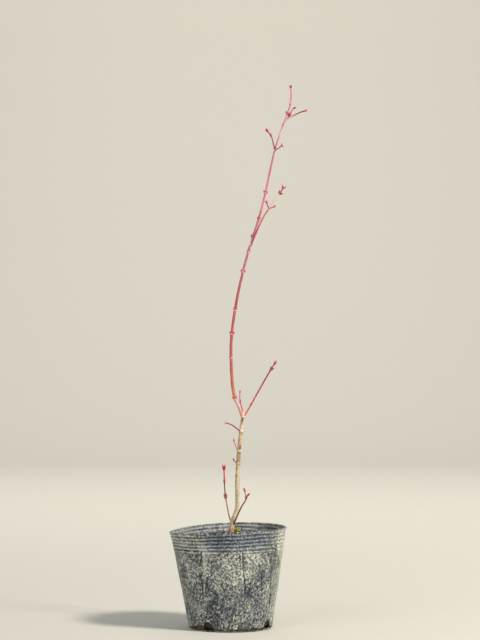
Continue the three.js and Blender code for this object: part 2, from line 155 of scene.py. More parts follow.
MASSES = {
    "top_twigs": [
        dict(
            path=[(54, 4, 515), (57.4, 2, 523.9), (60.7, 0, 533.6), (61.7, -1, 543.6), (61.3, -1.8, 550.8)],
            foot=0.76, tip=0.66, collars=[0.27, 0.54], end_buds=dict(lean=13, size=0.9), phase=25,
            tints="rose pink", bud_tints="coral pink crimson",
        ),
        dict(
            path=[(54.1, 4, 515.4), (59, 8, 522), (62.5, 11, 528.6), (64.6, 12.6, 531.2)],
            foot=0.62, collars=[0.5], tints="crimson", bud_tints="crimson",
        ),
        dict(
            path=[(58.6, 7.7, 521.2), (64.9, 5, 523.6), (71.6, 1, 526.3), (75.6, -1.4, 527.2)],
            foot=0.6, collars=[0.4], end_buds=CLOSED_BUDS, tints="rose crimson", bud_tints="pink coral",
        ),
    ],
    "upper_bough_twigs": [
        dict(
            path=[(38.8, -9, 426.7), (43.6, -10, 434.4), (49.7, -10, 441.8), (52.9, -11, 447.4)],
            foot=0.76, tip=0.62, collars=[0.73], end_buds=dict(lean=34, size=1.1), phase=15,
            tints="pale crimson", bud_tints="crimson coral",
        ),
        dict(
            path=[(39.1, -9, 427.2), (37.6, -8.4, 429.4), (36.8, -7.4, 432.6)],
            foot=0.58, tints="crimson", bud_tints="pink",
        ),
        dict(
            path=[(39.1, -9, 427.2), (41.6, -10.6, 427.6), (43.9, -12.2, 428.6)],
            foot=0.58, tints="coral", bud_tints="pink",
        ),
    ],
    "middle_left_twigs": [dict(
        path=[(45.1, 4, 487.6), (43.6, 6, 494.2), (41.4, 9, 502.8), (38.2, 11, 507.2)],
        foot=0.68, tip=0.56, collars=[0.72], end_buds=dict(lean=10, size=1.2), phase=50,
        tints="crimson", bud_tints="pink scarlet",
    )],
    "middle_right_twigs": [dict(
        path=[(45.1, 4, 487.6), (48.6, 1.6, 489.2), (51.8, -0.6, 491.6)],
        foot=0.66, tip=0.58, phase=10, tints="coral", bud_tints="pink",
    )],
    "side_bough_twigs": [dict(
        path=[(39.6, -3.1, 260.9), (42.7, -4, 265.9), (44.3, -4.5, 268.3)],
        foot=0.72, tip=0.6, collars=[0.22], collar_buds=dict(lean=22, size=1.1),
        end_buds=dict(lean=10, size=1.25), phase=30, tints="crimson", bud_tints="crimson coral",
    )],
    "rear_twig": [dict(
        path=[(12.4, 4.4, 212.4), (11.9, 7.4, 220.2), (9.8, 14, 228.3), (9.1, 20, 234.4), (9.4, 24, 238.8)],
        foot=0.7, tip=0.58, collars=[0.6], collar_buds=dict(lean=20, size=0.8), end_buds=CLOSED_BUDS,
        phase=80, tints="coral pink", bud_tints="crimson pink",
    )],
    "left_twig": [dict(
        path=[(10.2, 4, 198.9), (5, 0, 203.4), (0.3, -4, 206.8), (-4, -7.4, 208.4)],
        foot=0.72, tip=0.6, end_buds=CLOSED_BUDS, phase=0, tints="crimson", bud_tints="pink",
    )],
    "low_rear_twig": [dict(
        path=[(8.3, 3, 178.6), (6.4, 9, 181.6), (4.8, 14, 184.6), (3.4, 19, 189)],
        foot=0.7, tip=0.58, end_buds=CLOSED_BUDS, phase=70, tints="pink", bud_tints="pink",
    )],
    "low_left_twig": [dict(
        path=[(6.9, 2, 166.2), (4.4, 6, 168.2), (3.3, 9, 169.6)],
        foot=0.6, tip=0.5, end_buds=CLOSED_BUDS, phase=15, tints="coral", bud_tints="pink",
    )],
    "left_basal_shoot": [dict(
        path=[
            (1.9, -0.3, 104), (-1.3, -1, 112.2), (-3.7, -3, 123.8), (-5.6, -5, 134.9), (-6.6, -7, 151),
            (-6.9, -7.9, 160.9),
        ],
        foot=0.78, tip=0.62, collars=[0.5, 0.78], collar_buds=OPENING_BUDS, end_buds=OPENING_BUDS, phase=20,
        tints="brown_pink dusky crimson", bud_tints="amber coral scarlet",
    )],
    "right_basal_shoot": [
        dict(
            path=[
                (1.9, -0.6, 102.5), (6.8, -6, 114.6), (11.7, -9, 125), (15, -10, 130.1), (15.6, -10, 133.3),
                (14.4, -9, 139),
            ],
            foot=0.85, tip=0.62, collars=[0.82], collar_buds=dict(lean=20, size=0.8), end_buds=CLOSED_BUDS,
            phase=55, tints="dusky amber", bud_tints="crimson amber",
        ),
        dict(
            path=[(15.5, -10, 132.6), (16.5, -10.5, 134), (17.4, -10.9, 135.2)],
            foot=0.62, end_buds=CLOSED_BUDS, tints="crimson", bud_tints="scarlet",
        ),
    ],
}

# Seeded draws for what the scene adds to the solids
fine = np.random.default_rng(SEED)


def solids_states(state=SEED):
    """The states of the solids' own random draws, so that each bud lies where its solid does."""
    while True:
        state = (state * 1664525 + 1013904223) % 2**32
        yield state


states = solids_states()


def draw(low, high):
    return low + (high - low) * next(states) / 2**32


def smoothstep(value, low, high):
    share = np.clip((value - low) / (high - low), 0, 1)
    return share * share * (3 - 2 * share)


def bell(value, middle, spread):
    return np.exp(-(((value - middle) / spread) ** 2))


def rough_noise(points, size, octaves=3):
    """Smooth noise, about -1 to 1, at points in mm, with features of the given size along each axis."""
    values = [noise.fractal(Vector(p), 1.0, 2.0, octaves) for p in (points / np.array(size)).reshape(-1, 3)]
    return np.reshape(values, points.shape[:-1])


def band(value, from_none, from_full, to_full, to_none):
    """1 between two values, down to 0 further out."""
    return smoothstep(value, from_none, from_full) * (1 - smoothstep(value, to_full, to_none))


def angle_from(angles, middle):
    """Angles in degrees from a middle one, between -180 and 180."""
    return (angles - middle + 180) % 360 - 180


def round_bell(angles, middle, width):
    """1 at an angle round the pot, down to 0 away from it."""
    return bell(angle_from(angles, middle), 0, width)


def level_unit(degrees):
    """A level unit vector at an angle from +X."""
    return np.array([math.cos(math.radians(degrees)), math.sin(math.radians(degrees)), 0])


def arc(*degrees):
    """Cosines and sines of angles from one to another at even steps."""
    return [(math.cos(turn), math.sin(turn)) for turn in np.radians(np.arange(*degrees))]


# Shapes


class Shape:
    """Points in mm, faces, a material number for each face, and named marks with one value for each point."""

    def __init__(self, points, faces, material=0, **marks):
        self.points = np.asarray(points, float)
        self.faces = [tuple(map(int, face)) for face in faces]
        self.materials = list(material) if np.ndim(material) else [material] * len(self.faces)
        self.marks = marks

    def at(self, points):
        """The same shape with other points."""
        return Shape(points, self.faces, self.materials, **self.marks)


def joined(shapes):
    """One shape of many, whose marks are zero where a shape lacks them."""
    sizes = [len(shape.points) for shape in shapes]
    starts = np.cumsum([0, *sizes]).tolist()
    faces = [[start + k for k in face] for start, shape in zip(starts, shapes) for face in shape.faces]
    marks = {}
    for name in sorted({name for shape in shapes for name in shape.marks}):
        values = [shape.marks.get(name, np.zeros(size)) for shape, size in zip(shapes, sizes)]
        marks[name] = np.concatenate(values)
    materials = [number for shape in shapes for number in shape.materials]
    return Shape(np.concatenate([shape.points for shape in shapes]), faces, materials, **marks)


def placed(shape, anchor, direction, outward):
    """A shape turned from +Z to a direction, with +X as near outward as it goes, and moved to its anchor."""
    direction = direction / np.linalg.norm(direction)
    across = np.cross(direction, outward)
    across /= np.linalg.norm(across)
    return shape.at(shape.points @ np.stack([np.cross(across, direction), across, direction]) + anchor)


def linked(name, data):
    """A new object in the scene."""
    thing = bpy.data.objects.new(name, data)
    bpy.context.scene.collection.objects.link(thing)
    return thing


def mesh_object(name, points, faces):
    mesh = bpy.data.meshes.new(name)
    mesh.from_pydata(np.asarray(points).tolist(), [], faces)
    mesh.polygons.foreach_set("use_smooth", [True] * len(faces))
    return linked(name, mesh)


def make_piece(name, shape, materials, replaces=()):
    """A Blender object of a shape, that rides on the plant's one body."""
    piece = mesh_object(name, shape.points * MM, shape.faces)
    mesh = piece.data
    mesh.polygons.foreach_set("material_index", shape.materials)
    for mark, values in shape.marks.items():
        kind, field = ("FLOAT_VECTOR", "vector") if np.ndim(values) == 2 else ("FLOAT", "value")
        attribute = mesh.attributes.new(mark, kind, "POINT")
        attribute.data.foreach_set(field, np.asarray(values, np.float32).ravel())
    for material in materials:
        mesh.materials.append(material)
    mesh.validate()
    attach(piece, "root")
    if replaces:
        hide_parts(*replaces)


def lathed(rows, sides):
    """A grid of points round +Z, with a ring for each row of radius and height."""
    rows = np.array(rows, float)
    angles = np.linspace(0, 2 * np.pi, sides, endpoint=False)
    radii, heights = rows[:, :1], np.repeat(rows[:, 1:], sides, axis=1)
    return np.stack([radii * np.cos(angles), radii * np.sin(angles), heights], axis=-1)


def grid_faces(rows, columns, wrap):
    """Quads between the rows of a grid of points, that close on themselves round each row if wrap is set."""
    faces = []
    for row in range(rows - 1):
        for column in range(columns if wrap else columns - 1):
            a, b = row * columns + column, row * columns + (column + 1) % columns
            faces.append((a, b, b + columns, a + columns))
    return faces


def closed_rings(rings, foot, tip):
    """Points and faces of a closed body: a stack of rings, with a point at each end."""
    rows, columns = rings.shape[:2]
    foot_at, last = rows * columns, (rows - 1) * columns
    faces = grid_faces(rows, columns, True)
    for column in range(columns):
        beside = (column + 1) % columns
        faces += [(foot_at, beside, column), (foot_at + 1, last + column, last + beside)]
    return np.concatenate([rings.reshape(-1, 3), [foot], [tip]]), faces


def plate(grid, inward):
    """Points and faces of a thin closed plate: a grid, a second one moved by inward, and the rim between."""
    rows, columns = grid.shape[:2]
    index = np.arange(rows * columns).reshape(rows, columns)
    outer = grid_faces(rows, columns, False)
    inner = [[index.size + k for k in reversed(face)] for face in outer]
    rim = [*index[0], *index[1:, -1], *index[-1, -2::-1], *index[-2:0:-1, 0]]
    sides = [(b, a, index.size + a, index.size + b) for a, b in zip(rim, rim[1:] + rim[:1])]
    return np.concatenate([grid.reshape(-1, 3), (grid + inward).reshape(-1, 3)]), outer + inner + sides


def ball(subdivisions):
    """A ball of triangles, of radius 1."""
    mesh = bmesh.new()
    bmesh.ops.create_icosphere(mesh, subdivisions=subdivisions, radius=1)
    shape = Shape([v.co for v in mesh.verts], [[v.index for v in face.verts] for face in mesh.faces])
    mesh.free()
    return shape


def roughened(grain, rough, size, *spans):
    """A lump from a ball: each point is moved in or out, and each axis is scaled within its span."""
    points = grain.points * (1 + fine.uniform(-rough, rough, (len(grain.points), 1)))
    scale = [low if low == high else fine.uniform(low, high) for low, high in spans]
    return grain.at(points * scale * (size / 2))


# Stems

# Points round each skin, and the step between its rings in mm
TRUNK_RINGS = (44, 0.4)
LEADER_RINGS = (24, 0.6)
BOUGH_RINGS = (16, 0.45)
TWIG_RINGS = (12, 0.4)
STUB_RINGS = (12, 0.3)

# Points of the curve between two bends, half the step that a frame is taken over, how near Y a stem may run
# before its side is taken from X, the rings at a collar, and the angles of the rings on a tip's round cap
CURVE_STEPS = 40
FRAME_STEP = 0.05
NEAR_Y = 0.8
COLLAR_RINGS = np.arange(-1.6, 1.7, 0.2)
COLLAR_REACH = 1.7
CAP_DEG = [35, 65]

# Swellings of a collar, which dips between its two buds: share of the radius, place and half length in mm
COLLAR_DIP = 0.45
COLLAR_SWELLS = [(0.2, 0, 0.5), (0.08, 0, 1.4), (-0.05, -0.9, 0.25)]
PALE_SCAR = (0.1, 0.42)
DARK_LINE = (-0.75, 0.28)

# Flares at the foot: how far they stand out, and the length over which they fade
TWIG_FLARE = (0.42, 1.3)
TWIG_EDGE = (0.25, 0.2)
ROOT_FLARE = (2.1, 3.2)
ROOTS_FROM = 2.3

# Bumps of the bark: how high, their size along each axis, and how many finer layers they have
TRUNK_BUMPS = [(0.09, (0.75, 0.75, 7), 3), (0.16, (2.4, 2.4, 5), 2)]
LEADER_BUMPS = [(0.03, (0.6, 0.6, 6), 2), (0.05, (1.8, 1.8, 7), 2)]


def smooth_line(path):
    """Close points on the centripetal curve through the bends of a path."""
    bends = np.array(path, float)
    bends = np.concatenate([[2 * bends[0] - bends[1]], bends, [2 * bends[-1] - bends[-2]]])
    share = np.linspace(0, 1, CURVE_STEPS, endpoint=False)[:, None]
    line = []
    for before, start, end, after in zip(bends, bends[1:], bends[2:], bends[3:]):
        pairs = ((before, start), (start, end), (end, after))
        lead, span, trail = (np.linalg.norm(head - tail) ** 0.5 for tail, head in pairs)
        slope = (end - start) / span
        leave = ((start - before) / lead - (end - before) / (lead + span) + slope) * span
        arrive = (slope - (after - start) / (span + trail) + (after - end) / trail) * span
        square = -3 * start + 3 * end - 2 * leave - arrive
        cube = 2 * start - 2 * end + leave + arrive
        line.append(start + leave * share + square * share**2 + cube * share**3)
    return np.concatenate([*line, bends[-2:-1]])


class Stem:
    """A stem's middle line, and its frame, radius and collars by distance from its foot."""

    def __init__(self, spec):
        self.spec = spec
        self.line = smooth_line(spec["path"])
        steps = np.linalg.norm(np.diff(self.line, axis=0), axis=1)
        self.reach = np.concatenate([[0], np.cumsum(steps)])
        self.length = self.reach[-1]
        self.collars = [share * self.length for share in spec.get("collars", [])]
        self.collars += [self.at_height(height) for height in spec.get("collar_heights", [])]

    def at_height(self, height):
        """The distance along the stem at which it comes to a height."""
        return float(np.interp(height, self.line[:, 2], self.reach))

    def at(self, distance):
        return np.stack([np.interp(distance, self.reach, self.line[:, k]) for k in range(3)], axis=-1)

    def frame(self, distance):
        """Unit vectors along the stem, to its side and to its front."""
        along = self.at(distance + FRAME_STEP) - self.at(distance - FRAME_STEP)
        along /= np.linalg.norm(along, axis=-1, keepdims=True)
        plain = np.abs(along[..., 1:2]) < NEAR_Y
        side = np.cross(along, np.where(plain, (0, 1, 0), (1, 0, 0)))
        side /= np.linalg.norm(side, axis=-1, keepdims=True)
        return along, side, np.cross(side, along)

    def outward(self, distance, turn):
        """The unit vectors along the stem, and away from it at an angle in radians round it."""
        along, side, front = self.frame(distance)
        return along, side * math.cos(turn) + front * math.sin(turn)

    def radius(self, distance):
        return np.interp(distance, [0, self.length], [self.spec["foot"], self.spec["tip"]])


def ring_distances(stem, step):
    """Distances of the rings along a stem: an even step, and closer rings at its collars."""
    distances = [*np.arange(0, stem.length, step), stem.length]
    for collar in stem.collars:
        distances = [d for d in distances if abs(d - collar) > COLLAR_REACH] + [*(collar + COLLAR_RINGS)]
    return np.array(sorted(d for d in distances if 0 <= d <= stem.length))


def wounds_on(stem, away, angles):
    """How far each point of a skin lies in an old scar, from 0 to 1."""
    depth = np.zeros_like(away)
    for height, turn, half_length, half_width in stem.spec.get("wounds", []):
        at = stem.at_height(height)
        across = angle_from(np.degrees(angles), turn) * np.pi / 180 * stem.radius(at)
        off = np.hypot((away - at) / half_length, across / half_width)
        depth = np.maximum(depth, 1 - smoothstep(off, *WOUND_EDGE))
    return depth


def stem_skin(stem, sides, step, relief):
    """The skin of a stem, with collars, a rounded tip, and the marks that its bark reads."""
    distances = ring_distances(stem, step)
    angles = np.linspace(0, 2 * np.pi, sides, endpoint=False)
    away = np.repeat(distances[:, None], sides, axis=1)
    bare = stem.radius(away)
    grain = np.stack([bare * np.cos(angles), bare * np.sin(angles), away], axis=-1)
    wound = wounds_on(stem, away, angles)
    radius = bare - WOUND_DEPTH * wound + relief(away, angles, grain)
    scar, line = np.zeros_like(bare), np.zeros_like(bare)
    for number, collar in enumerate(stem.collars):
        turn = math.radians(stem.spec.get("phase", 0) + 90 * number)
        level = away - collar + COLLAR_DIP * np.cos(2 * (angles - turn))
        radius += bare * sum(swell * bell(level, at, half) for swell, at, half in COLLAR_SWELLS)
        scar = np.maximum(scar, bell(level, *PALE_SCAR))
        line = np.maximum(line, bell(level, *DARK_LINE))
    along, side, front = (v[:, None, :] for v in stem.frame(distances))
    offset = side * np.cos(angles)[:, None] + front * np.sin(angles)[:, None]
    rings = stem.at(distances)[:, None, :] + radius[..., None] * offset
    tip, ahead = stem.at(stem.length), along[-1, 0] * stem.spec["tip"]
    cap_turns = np.radians(CAP_DEG)
    caps = [tip + (rings[-1] - tip) * math.cos(turn) + ahead * math.sin(turn) for turn in cap_turns]

    def whole(values):
        """Values of the rings, carried on over the cap and the two end points."""
        over_cap = np.concatenate([values, values[-1:], values[-1:]]).reshape(-1, *values.shape[2:])
        return np.concatenate([over_cap, values[0, :1], values[-1, :1]])

    marks = {"along": away / stem.length, "grain": grain, "scar": scar, "line": line, "wound": wound}
    points, faces = closed_rings(np.concatenate([rings, caps]), stem.at(0), tip + ahead)
    return Shape(points, faces, **{name: whole(values) for name, values in marks.items()})


def no_relief(away, angles, grain):
    return 0


def fading(away, rise, length):
    return rise * np.exp(-away / length)


def twig_relief(away, angles, grain):
    """A twig's foot swells where it leaves what carries it, and its edge is rounded."""
    return fading(away, *TWIG_FLARE) * smoothstep(away, -0.3, 0.8) - fading(away, *TWIG_EDGE)


def bumps(grain, layers):
    return sum(high * rough_noise(grain, size, octaves) for high, size, octaves in layers)


def trunk_relief(away, angles, grain):
    """Root flare with four soft lobes, fine ridges and small bumps."""
    flare = fading(np.maximum(away - ROOTS_FROM, -1), *ROOT_FLARE) * (1 + 0.22 * np.cos(4 * angles + 0.6))
    return flare + bumps(grain, TRUNK_BUMPS)


def leader_relief(away, angles, grain):
    return bumps(grain, LEADER_BUMPS)


# Buds: two pairs of overlapping scales round a pointed core

# The bud's outline: shares of its length, and its radius there over its widest
BUD_SHARES = [-0.15, 0, 0.18, 0.36, 0.55, 0.72, 0.88, 1]
BUD_WIDTHS = [0.45, 0.62, 0.9, 1, 0.9, 0.66, 0.34, 0.05]
CORE_TOP = 0.96
CORE_POINT = 0.995
CORE_SIDES = 10
CORE_OVAL = 0.05

# Scales: angle round the bud, share of the length to the scale's top, and how far it lifts off in mm
SCALES = [(0, 0.86, 0.07), (np.pi, 0.82, 0.07), (np.pi / 2, 0.44, 0.13), (-np.pi / 2, 0.4, 0.13)]
LONG_SCALE = 0.6
DRAWN_BACK = 0.25
SCALE_ROOT = -0.08
SCALE_HALF_TURN = 1.45
SCALE_POINTS = 7
SCALE_THICKNESS = 0.12

# Places along each limb at which a bud is held clear of it
LIMB_POINTS = 61


def bud_radius(share):
    return np.interp(share, BUD_SHARES, BUD_WIDTHS)


def bud_scale(length, radius, turn, top, lift):
    """One scale that hugs the bud, broad below and pointed at its top."""
    across = np.linspace(-1, 1, SCALE_POINTS)
    share = np.linspace(SCALE_ROOT, top, SCALE_POINTS)[:, None]
    rise = (share - SCALE_ROOT) / (top - SCALE_ROOT)
    angles = turn + across * SCALE_HALF_TURN * np.sqrt(np.maximum(1 - rise**2.4, 0.004))
    out = radius * bud_radius(share) + lift * (1 - 0.6 * across**2)
    heights = np.repeat(share * length, SCALE_POINTS, axis=1)
    grid = np.stack([out * np.cos(angles), out * np.sin(angles), heights], axis=-1)
    return Shape(*plate(grid, -SCALE_THICKNESS * grid * (1, 1, 0) / radius))


def bud_shape(length, radius, opening):
    """A bud along +Z from its root at the origin. Core faces are material 1, and scales material 0."""
    shares = BUD_SHARES[:-1] + [CORE_TOP]
    rings = lathed([(radius * bud_radius(share), share * length) for share in shares], CORE_SIDES)
    angles = np.arctan2(rings[..., 1], rings[..., 0])
    rings[..., :2] *= 1 + CORE_OVAL * np.cos(2 * angles)[..., None]
    parts = [Shape(*closed_rings(rings, (0, 0, BUD_SHARES[0] * length), (0, 0, CORE_POINT * length)), 1)]
    for turn, top, lift in SCALES:
        top -= DRAWN_BACK * (opening and top > LONG_SCALE)
        parts.append(bud_scale(length, radius, turn, top, lift))
    bud = joined(parts)
    bud.marks["rise"] = np.clip(bud.points[:, 2] / length, 0, 1)
    return bud


STEMS = {name: Stem(spec) for name, spec in LIMBS.items()}
buds = {}


def touches_limb(point, own):
    """A bud that would touch a limb other than its own is left out, as in the solids."""
    for name, stem in STEMS.items():
        near = np.linalg.norm(stem.at(np.linspace(0, stem.length, LIMB_POINTS)) - point, axis=1).min()
        if name != own and near < stem.spec["foot"] + BUD_CLEARANCE:
            return True
    return False


def grow_bud_pair(stem, distance, radius, phase, form, own, tint):
    for half in (0, 180):
        turn = math.radians(phase + half + draw(-BUD_TURN_SPREAD_DEG, BUD_TURN_SPREAD_DEG))
        lean = math.radians(form["lean"] + draw(-BUD_LEAN_SPREAD_DEG, BUD_LEAN_SPREAD_DEG))
        length = BUD_LENGTH * form["size"] * draw(1 - BUD_SIZE_SPREAD, 1 + BUD_SIZE_SPREAD)
        along, outward = stem.outward(distance, turn)
        direction = along * math.cos(lean) + outward * math.sin(lean)
        anchor = stem.at(distance) + outward * BUD_SEAT * radius
        if not touches_limb(anchor + direction * length / 2, own):
            bud = bud_shape(length, BUD_RADIUS * math.sqrt(length / BUD_LENGTH), form is OPENING_BUDS)
            buds.setdefault(tint, []).append(placed(bud, anchor, direction, outward))


def grow_buds(stem, own, tints):
    """A pair at each collar, unless it is bare, and a pair at the tip of a twig."""
    phase, form = stem.spec["phase"], stem.spec.get("collar_buds", COLLAR_BUDS)
    for number, collar in enumerate(stem.collars):
        if number not in stem.spec.get("bare_collars", []):
            tint = tints[number % len(tints)]
            grow_bud_pair(stem, collar, stem.radius(collar), phase + 90 * number, form, own, tint)
    if own not in LIMBS:
        form = stem.spec.get("end_buds", END_BUDS)
        grow_bud_pair(stem, stem.length, stem.spec["tip"] / 2, phase, form, own, tints[-1])


# Materials: colours are written as 0 to 255


def srgb(colour):
    """A colour as Blender's linear numbers. A Field stays as it is."""
    if isinstance(colour, Field):
        return colour
    shares = np.array(colour) / 255
    linear = np.where(shares <= 0.04045, shares / 12.92, ((shares + 0.055) / 1.055) ** 2.4)
    return (*linear, 1.0)


class Field:
    """What a node gives out over the surface: a number or a colour. Numbers are reckoned with as usual."""

    def __init__(self, finish, socket):
        self.finish, self.socket = finish, socket

    def __add__(self, other):
        return self.finish.math("ADD", self, other)

    def __mul__(self, other):
        return self.finish.math("MULTIPLY", self, other)

    def __sub__(self, other):
        return self.finish.math("SUBTRACT", self, other)

    def __rsub__(self, other):
        return self.finish.math("SUBTRACT", other, self)

    __radd__, __rmul__ = __add__, __mul__


class Finish:
    """A material, and short calls that add nodes to it. Each gives the Field that the next one reads."""

    def __init__(self, name):
        self.material = bpy.data.materials.new(name)
        self.material.use_nodes = True
        self.tree = self.material.node_tree
        self.shader = self.tree.nodes["Principled BSDF"]
        self.place = self.stretched([1 / MM] * 3, self.add("TexCoord", "Object"))

    def feed(self, node, inputs):
        """Sets inputs of a node, by name or number, to Fields, numbers or colours."""
        for key, value in inputs.items():
            if isinstance(value, Field):
                self.tree.links.new(value.socket, node.inputs[key])
            else:
                node.inputs[key].default_value = value

    def add(self, kind, output, inputs=None, **settings):
        node = self.tree.nodes.new("ShaderNode" + kind)
        for name, value in settings.items():
            setattr(node, name, value)
        self.feed(node, inputs or {})
        return Field(self, node.outputs[output])

    def math(self, operation, a, b=0.0):
        return self.add("Math", 0, {0: a, 1: b}, operation=operation)

    def mark(self, name, output="Fac"):
        return self.add("Attribute", output, attribute_name=name)

    def stretched(self, scale, place):
        """Coordinates in mm times a scale for each axis, in features per mm."""
        return self.add("VectorMath", 0, {0: place, 1: scale}, operation="MULTIPLY")

    def turned(self, degrees):
        """Coordinates in mm, turned about all three axes."""
        inputs = {"Vector": self.place, "Rotation": [math.radians(angle) for angle in degrees]}
        return self.add("VectorRotate", 0, inputs, rotation_type="EULER_XYZ")

    def noise(self, scale, detail=3.0, roughness=0.55, distortion=0.0, place=None):
        """Noise from 0 to 1, by its features per mm along each axis."""
        inputs = {"Vector": self.stretched(scale, place or self.place), "Scale": 1.0}
        inputs |= {"Detail": detail, "Roughness": roughness, "Distortion": distortion}
        return self.add("TexNoise", "Fac", inputs)

    def cells(self, scale, place):
        return self.add("TexVoronoi", "Distance", {"Vector": self.stretched(scale, place), "Scale": 1.0})

    def span(self, value, low, high, to_low=0.0, to_high=1.0):
        """A value's place between low and high, clamped, as a share of the new span."""
        inputs = {"Value": value, "From Min": low, "From Max": high, "To Min": to_low, "To Max": to_high}
        return self.add("MapRange", "Result", inputs, interpolation_type="SMOOTHSTEP")

    def ramp(self, share, stops):
        ramp = self.add("ValToRGB", "Color", {"Fac": share})
        elements = ramp.socket.node.color_ramp.elements
        while len(elements) < len(stops):
            elements.new(0.5)
        for element, (position, colour) in zip(elements, stops):
            element.position = position
            element.color = srgb(colour)
        return ramp

    def mix(self, share, a, b, blend="MIX"):
        inputs = {0: share, 6: srgb(a), 7: srgb(b)}
        return self.add("Mix", 2, inputs, data_type="RGBA", blend_type=blend)

    def layered(self, colour, layers):
        """A colour with others laid over it, each by its own share."""
        for share, tint in layers:
            colour = self.mix(share, colour, tint)
        return colour

    def finish(self, colour, roughness, height=None, depth=0.1, specular=0.4, coat=0.0, sheen=0.0):
        """Sets the shader. The bump's depth is in mm."""
        inputs = {"Base Color": srgb(colour), "Roughness": roughness, "Specular IOR Level": specular}
        inputs |= {"Coat Weight": coat, "Sheen Weight": sheen}
        if height:
            inputs["Normal"] = self.add("Bump", "Normal", {"Distance": depth * MM, "Height": height})
        self.feed(self.shader, inputs)
        return self.material


WOUND_BROWN = (98, 54, 34)


def stem_bark(name, tints, pale, dark, mottle=0.4, roughness=0.45, depth=0.06, coat=0.0):
    """Bark that takes its tint from the share along the stem, with streaks, lenticels and leaf scars."""
    bark = Finish(name)
    grain = bark.mark("grain", "Vector")
    streaks = bark.noise((1.5, 1.5, 0.14), 4, 0.6, place=grain)
    blotches = bark.noise((0.5, 0.5, 0.3), 4, 0.65, 0.6, grain)
    flecks = bark.noise((1.6, 1.6, 1.1), 3, 0.6, place=grain)
    lenticels = bark.span(bark.cells((0.55, 0.55, 0.3), grain), 0.1, 0.2, 1, 0)
    layers = [
        (bark.span(streaks, 0.52, 0.76, 0, mottle), pale),
        (bark.span(blotches, 0.5, 0.68, 0, mottle), dark),
        (bark.span(flecks, 0.56, 0.7, 0, mottle), pale),
        (bark.span(flecks, 0.44, 0.32, 0, mottle * 0.8), dark),
        (lenticels * 0.5, pale),
        (bark.mark("line") * 0.8, dark),
        (bark.mark("scar") * 0.85, pale),
        (bark.mark("wound") * bark.span(blotches, 0.3, 0.6, 0.75, 1), WOUND_BROWN),
    ]
    colour = bark.layered(bark.ramp(bark.mark("along"), tints), layers)
    shine = bark.span(streaks, 0.3, 0.7, roughness - 0.08, roughness + 0.14)
    return bark.finish(colour, shine, streaks + flecks + lenticels * 0.6, depth, coat=coat)


def bud_finish(name, root, middle, tip):
    """A bud's scales: tinted from root to tip and mottled, with a soft satin gloss."""
    scales = Finish(name)
    mottle = scales.noise((0.9, 0.9, 0.5), 3, 0.6)
    tint = scales.ramp(scales.mark("rise"), [(0, root), (0.45, middle), (1, tip)])
    tint = scales.mix(scales.span(mottle, 0.5, 0.75, 0, 0.4), tint, root)
    return scales.finish(tint, scales.span(mottle, 0.3, 0.7, 0.34, 0.52), mottle, 0.03, coat=0.1)


def stops_by_height(stem, tints):
    """Tints given by height in mm, as shares along a stem."""
    return [(stem.at_height(height) / stem.length, colour) for height, colour in tints]


# Tints of the bark by height, with its pale and dark mottling. Between about 103 and 128 mm the tints are
# partly the pale bark's own and partly painted light, lightened to offset the shadow that the right basal
# shoot casts on the trunk there.
TRUNK_TINTS = [
    (94, (118, 84, 56)), (99, (158, 116, 78)), (103, (200, 172, 136)), (110, (222, 202, 168)),
    (120, (226, 208, 172)), (128, (214, 196, 158)), (138, (196, 180, 146)), (160, (200, 182, 148)),
    (166, (180, 156, 124)), (168, (146, 120, 72)), (178, (134, 106, 56)), (180, (182, 152, 116)),
    (198, (184, 150, 104)), (200, (212, 190, 168)), (210, (190, 160, 138)), (214, (196, 176, 150)),
    (217, (226, 214, 190)),
]
TRUNK_MOTTLE = ((238, 222, 200), (116, 92, 58))
LEADER_TINTS = [
    (213, (196, 120, 104)), (219, (206, 144, 130)), (231, (212, 178, 172)), (233.5, (190, 104, 70)),
    (250, (184, 92, 70)), (274, (180, 76, 66)), (300, (178, 68, 62)), (325, (158, 48, 50)),
    (345, (162, 62, 66)), (362, (172, 82, 86)), (381, (172, 98, 106)), (386, (148, 84, 92)),
    (391, (214, 178, 152)), (397, (208, 162, 144)), (400, (188, 80, 96)), (424, (212, 114, 132)),
    (470, (184, 88, 112)), (486, (184, 92, 112)), (490, (178, 78, 102)), (500, (196, 128, 142)),
    (506, (208, 172, 164)), (511, (192, 132, 134)), (513, (160, 62, 78)),
]
LEADER_MOTTLE = ((244, 214, 204), (126, 36, 44))

# Tints of the boughs at even steps from foot to tip
BOUGH_TINTS = {
    "side_bough": [(208, 92, 96), (204, 76, 86), (170, 42, 62), (150, 34, 54), (140, 38, 54)],
    "upper_bough": [(146, 42, 72), (178, 62, 90), (200, 84, 108), (200, 80, 102)],
}
BOUGH_MOTTLE = ((244, 186, 182), (112, 26, 40))

# Twigs: their tint, then its pale and dark mottling. Buds: their tint at root, middle and tip.
TWIG_TINTS = {
    "crimson": ((158, 44, 60), (214, 128, 130), (88, 22, 34)),
    "coral": ((198, 86, 86), (232, 172, 160), (136, 42, 50)),
    "pink": ((204, 104, 130), (238, 188, 192), (142, 56, 82)),
    "rose": ((208, 140, 146), (236, 206, 200), (152, 72, 84)),
    "pale": ((216, 188, 170), (238, 224, 204), (150, 90, 86)),
    "brown_pink": ((184, 130, 110), (216, 184, 160), (120, 74, 64)),
    "dusky": ((124, 70, 68), (180, 128, 120), (70, 36, 40)),
    "amber": ((186, 110, 40), (220, 178, 84), (130, 54, 34)),
}
BUD_TINTS = {
    "crimson": ((122, 30, 42), (176, 48, 62), (214, 96, 100)),
    "coral": ((168, 52, 62), (206, 86, 88), (232, 140, 132)),
    "pink": ((188, 76, 96), (220, 126, 138), (240, 190, 184)),
    "amber": ((128, 104, 40), (192, 104, 52), (216, 128, 108)),
    "scarlet": ((150, 34, 46), (196, 46, 48), (232, 128, 84)),
}

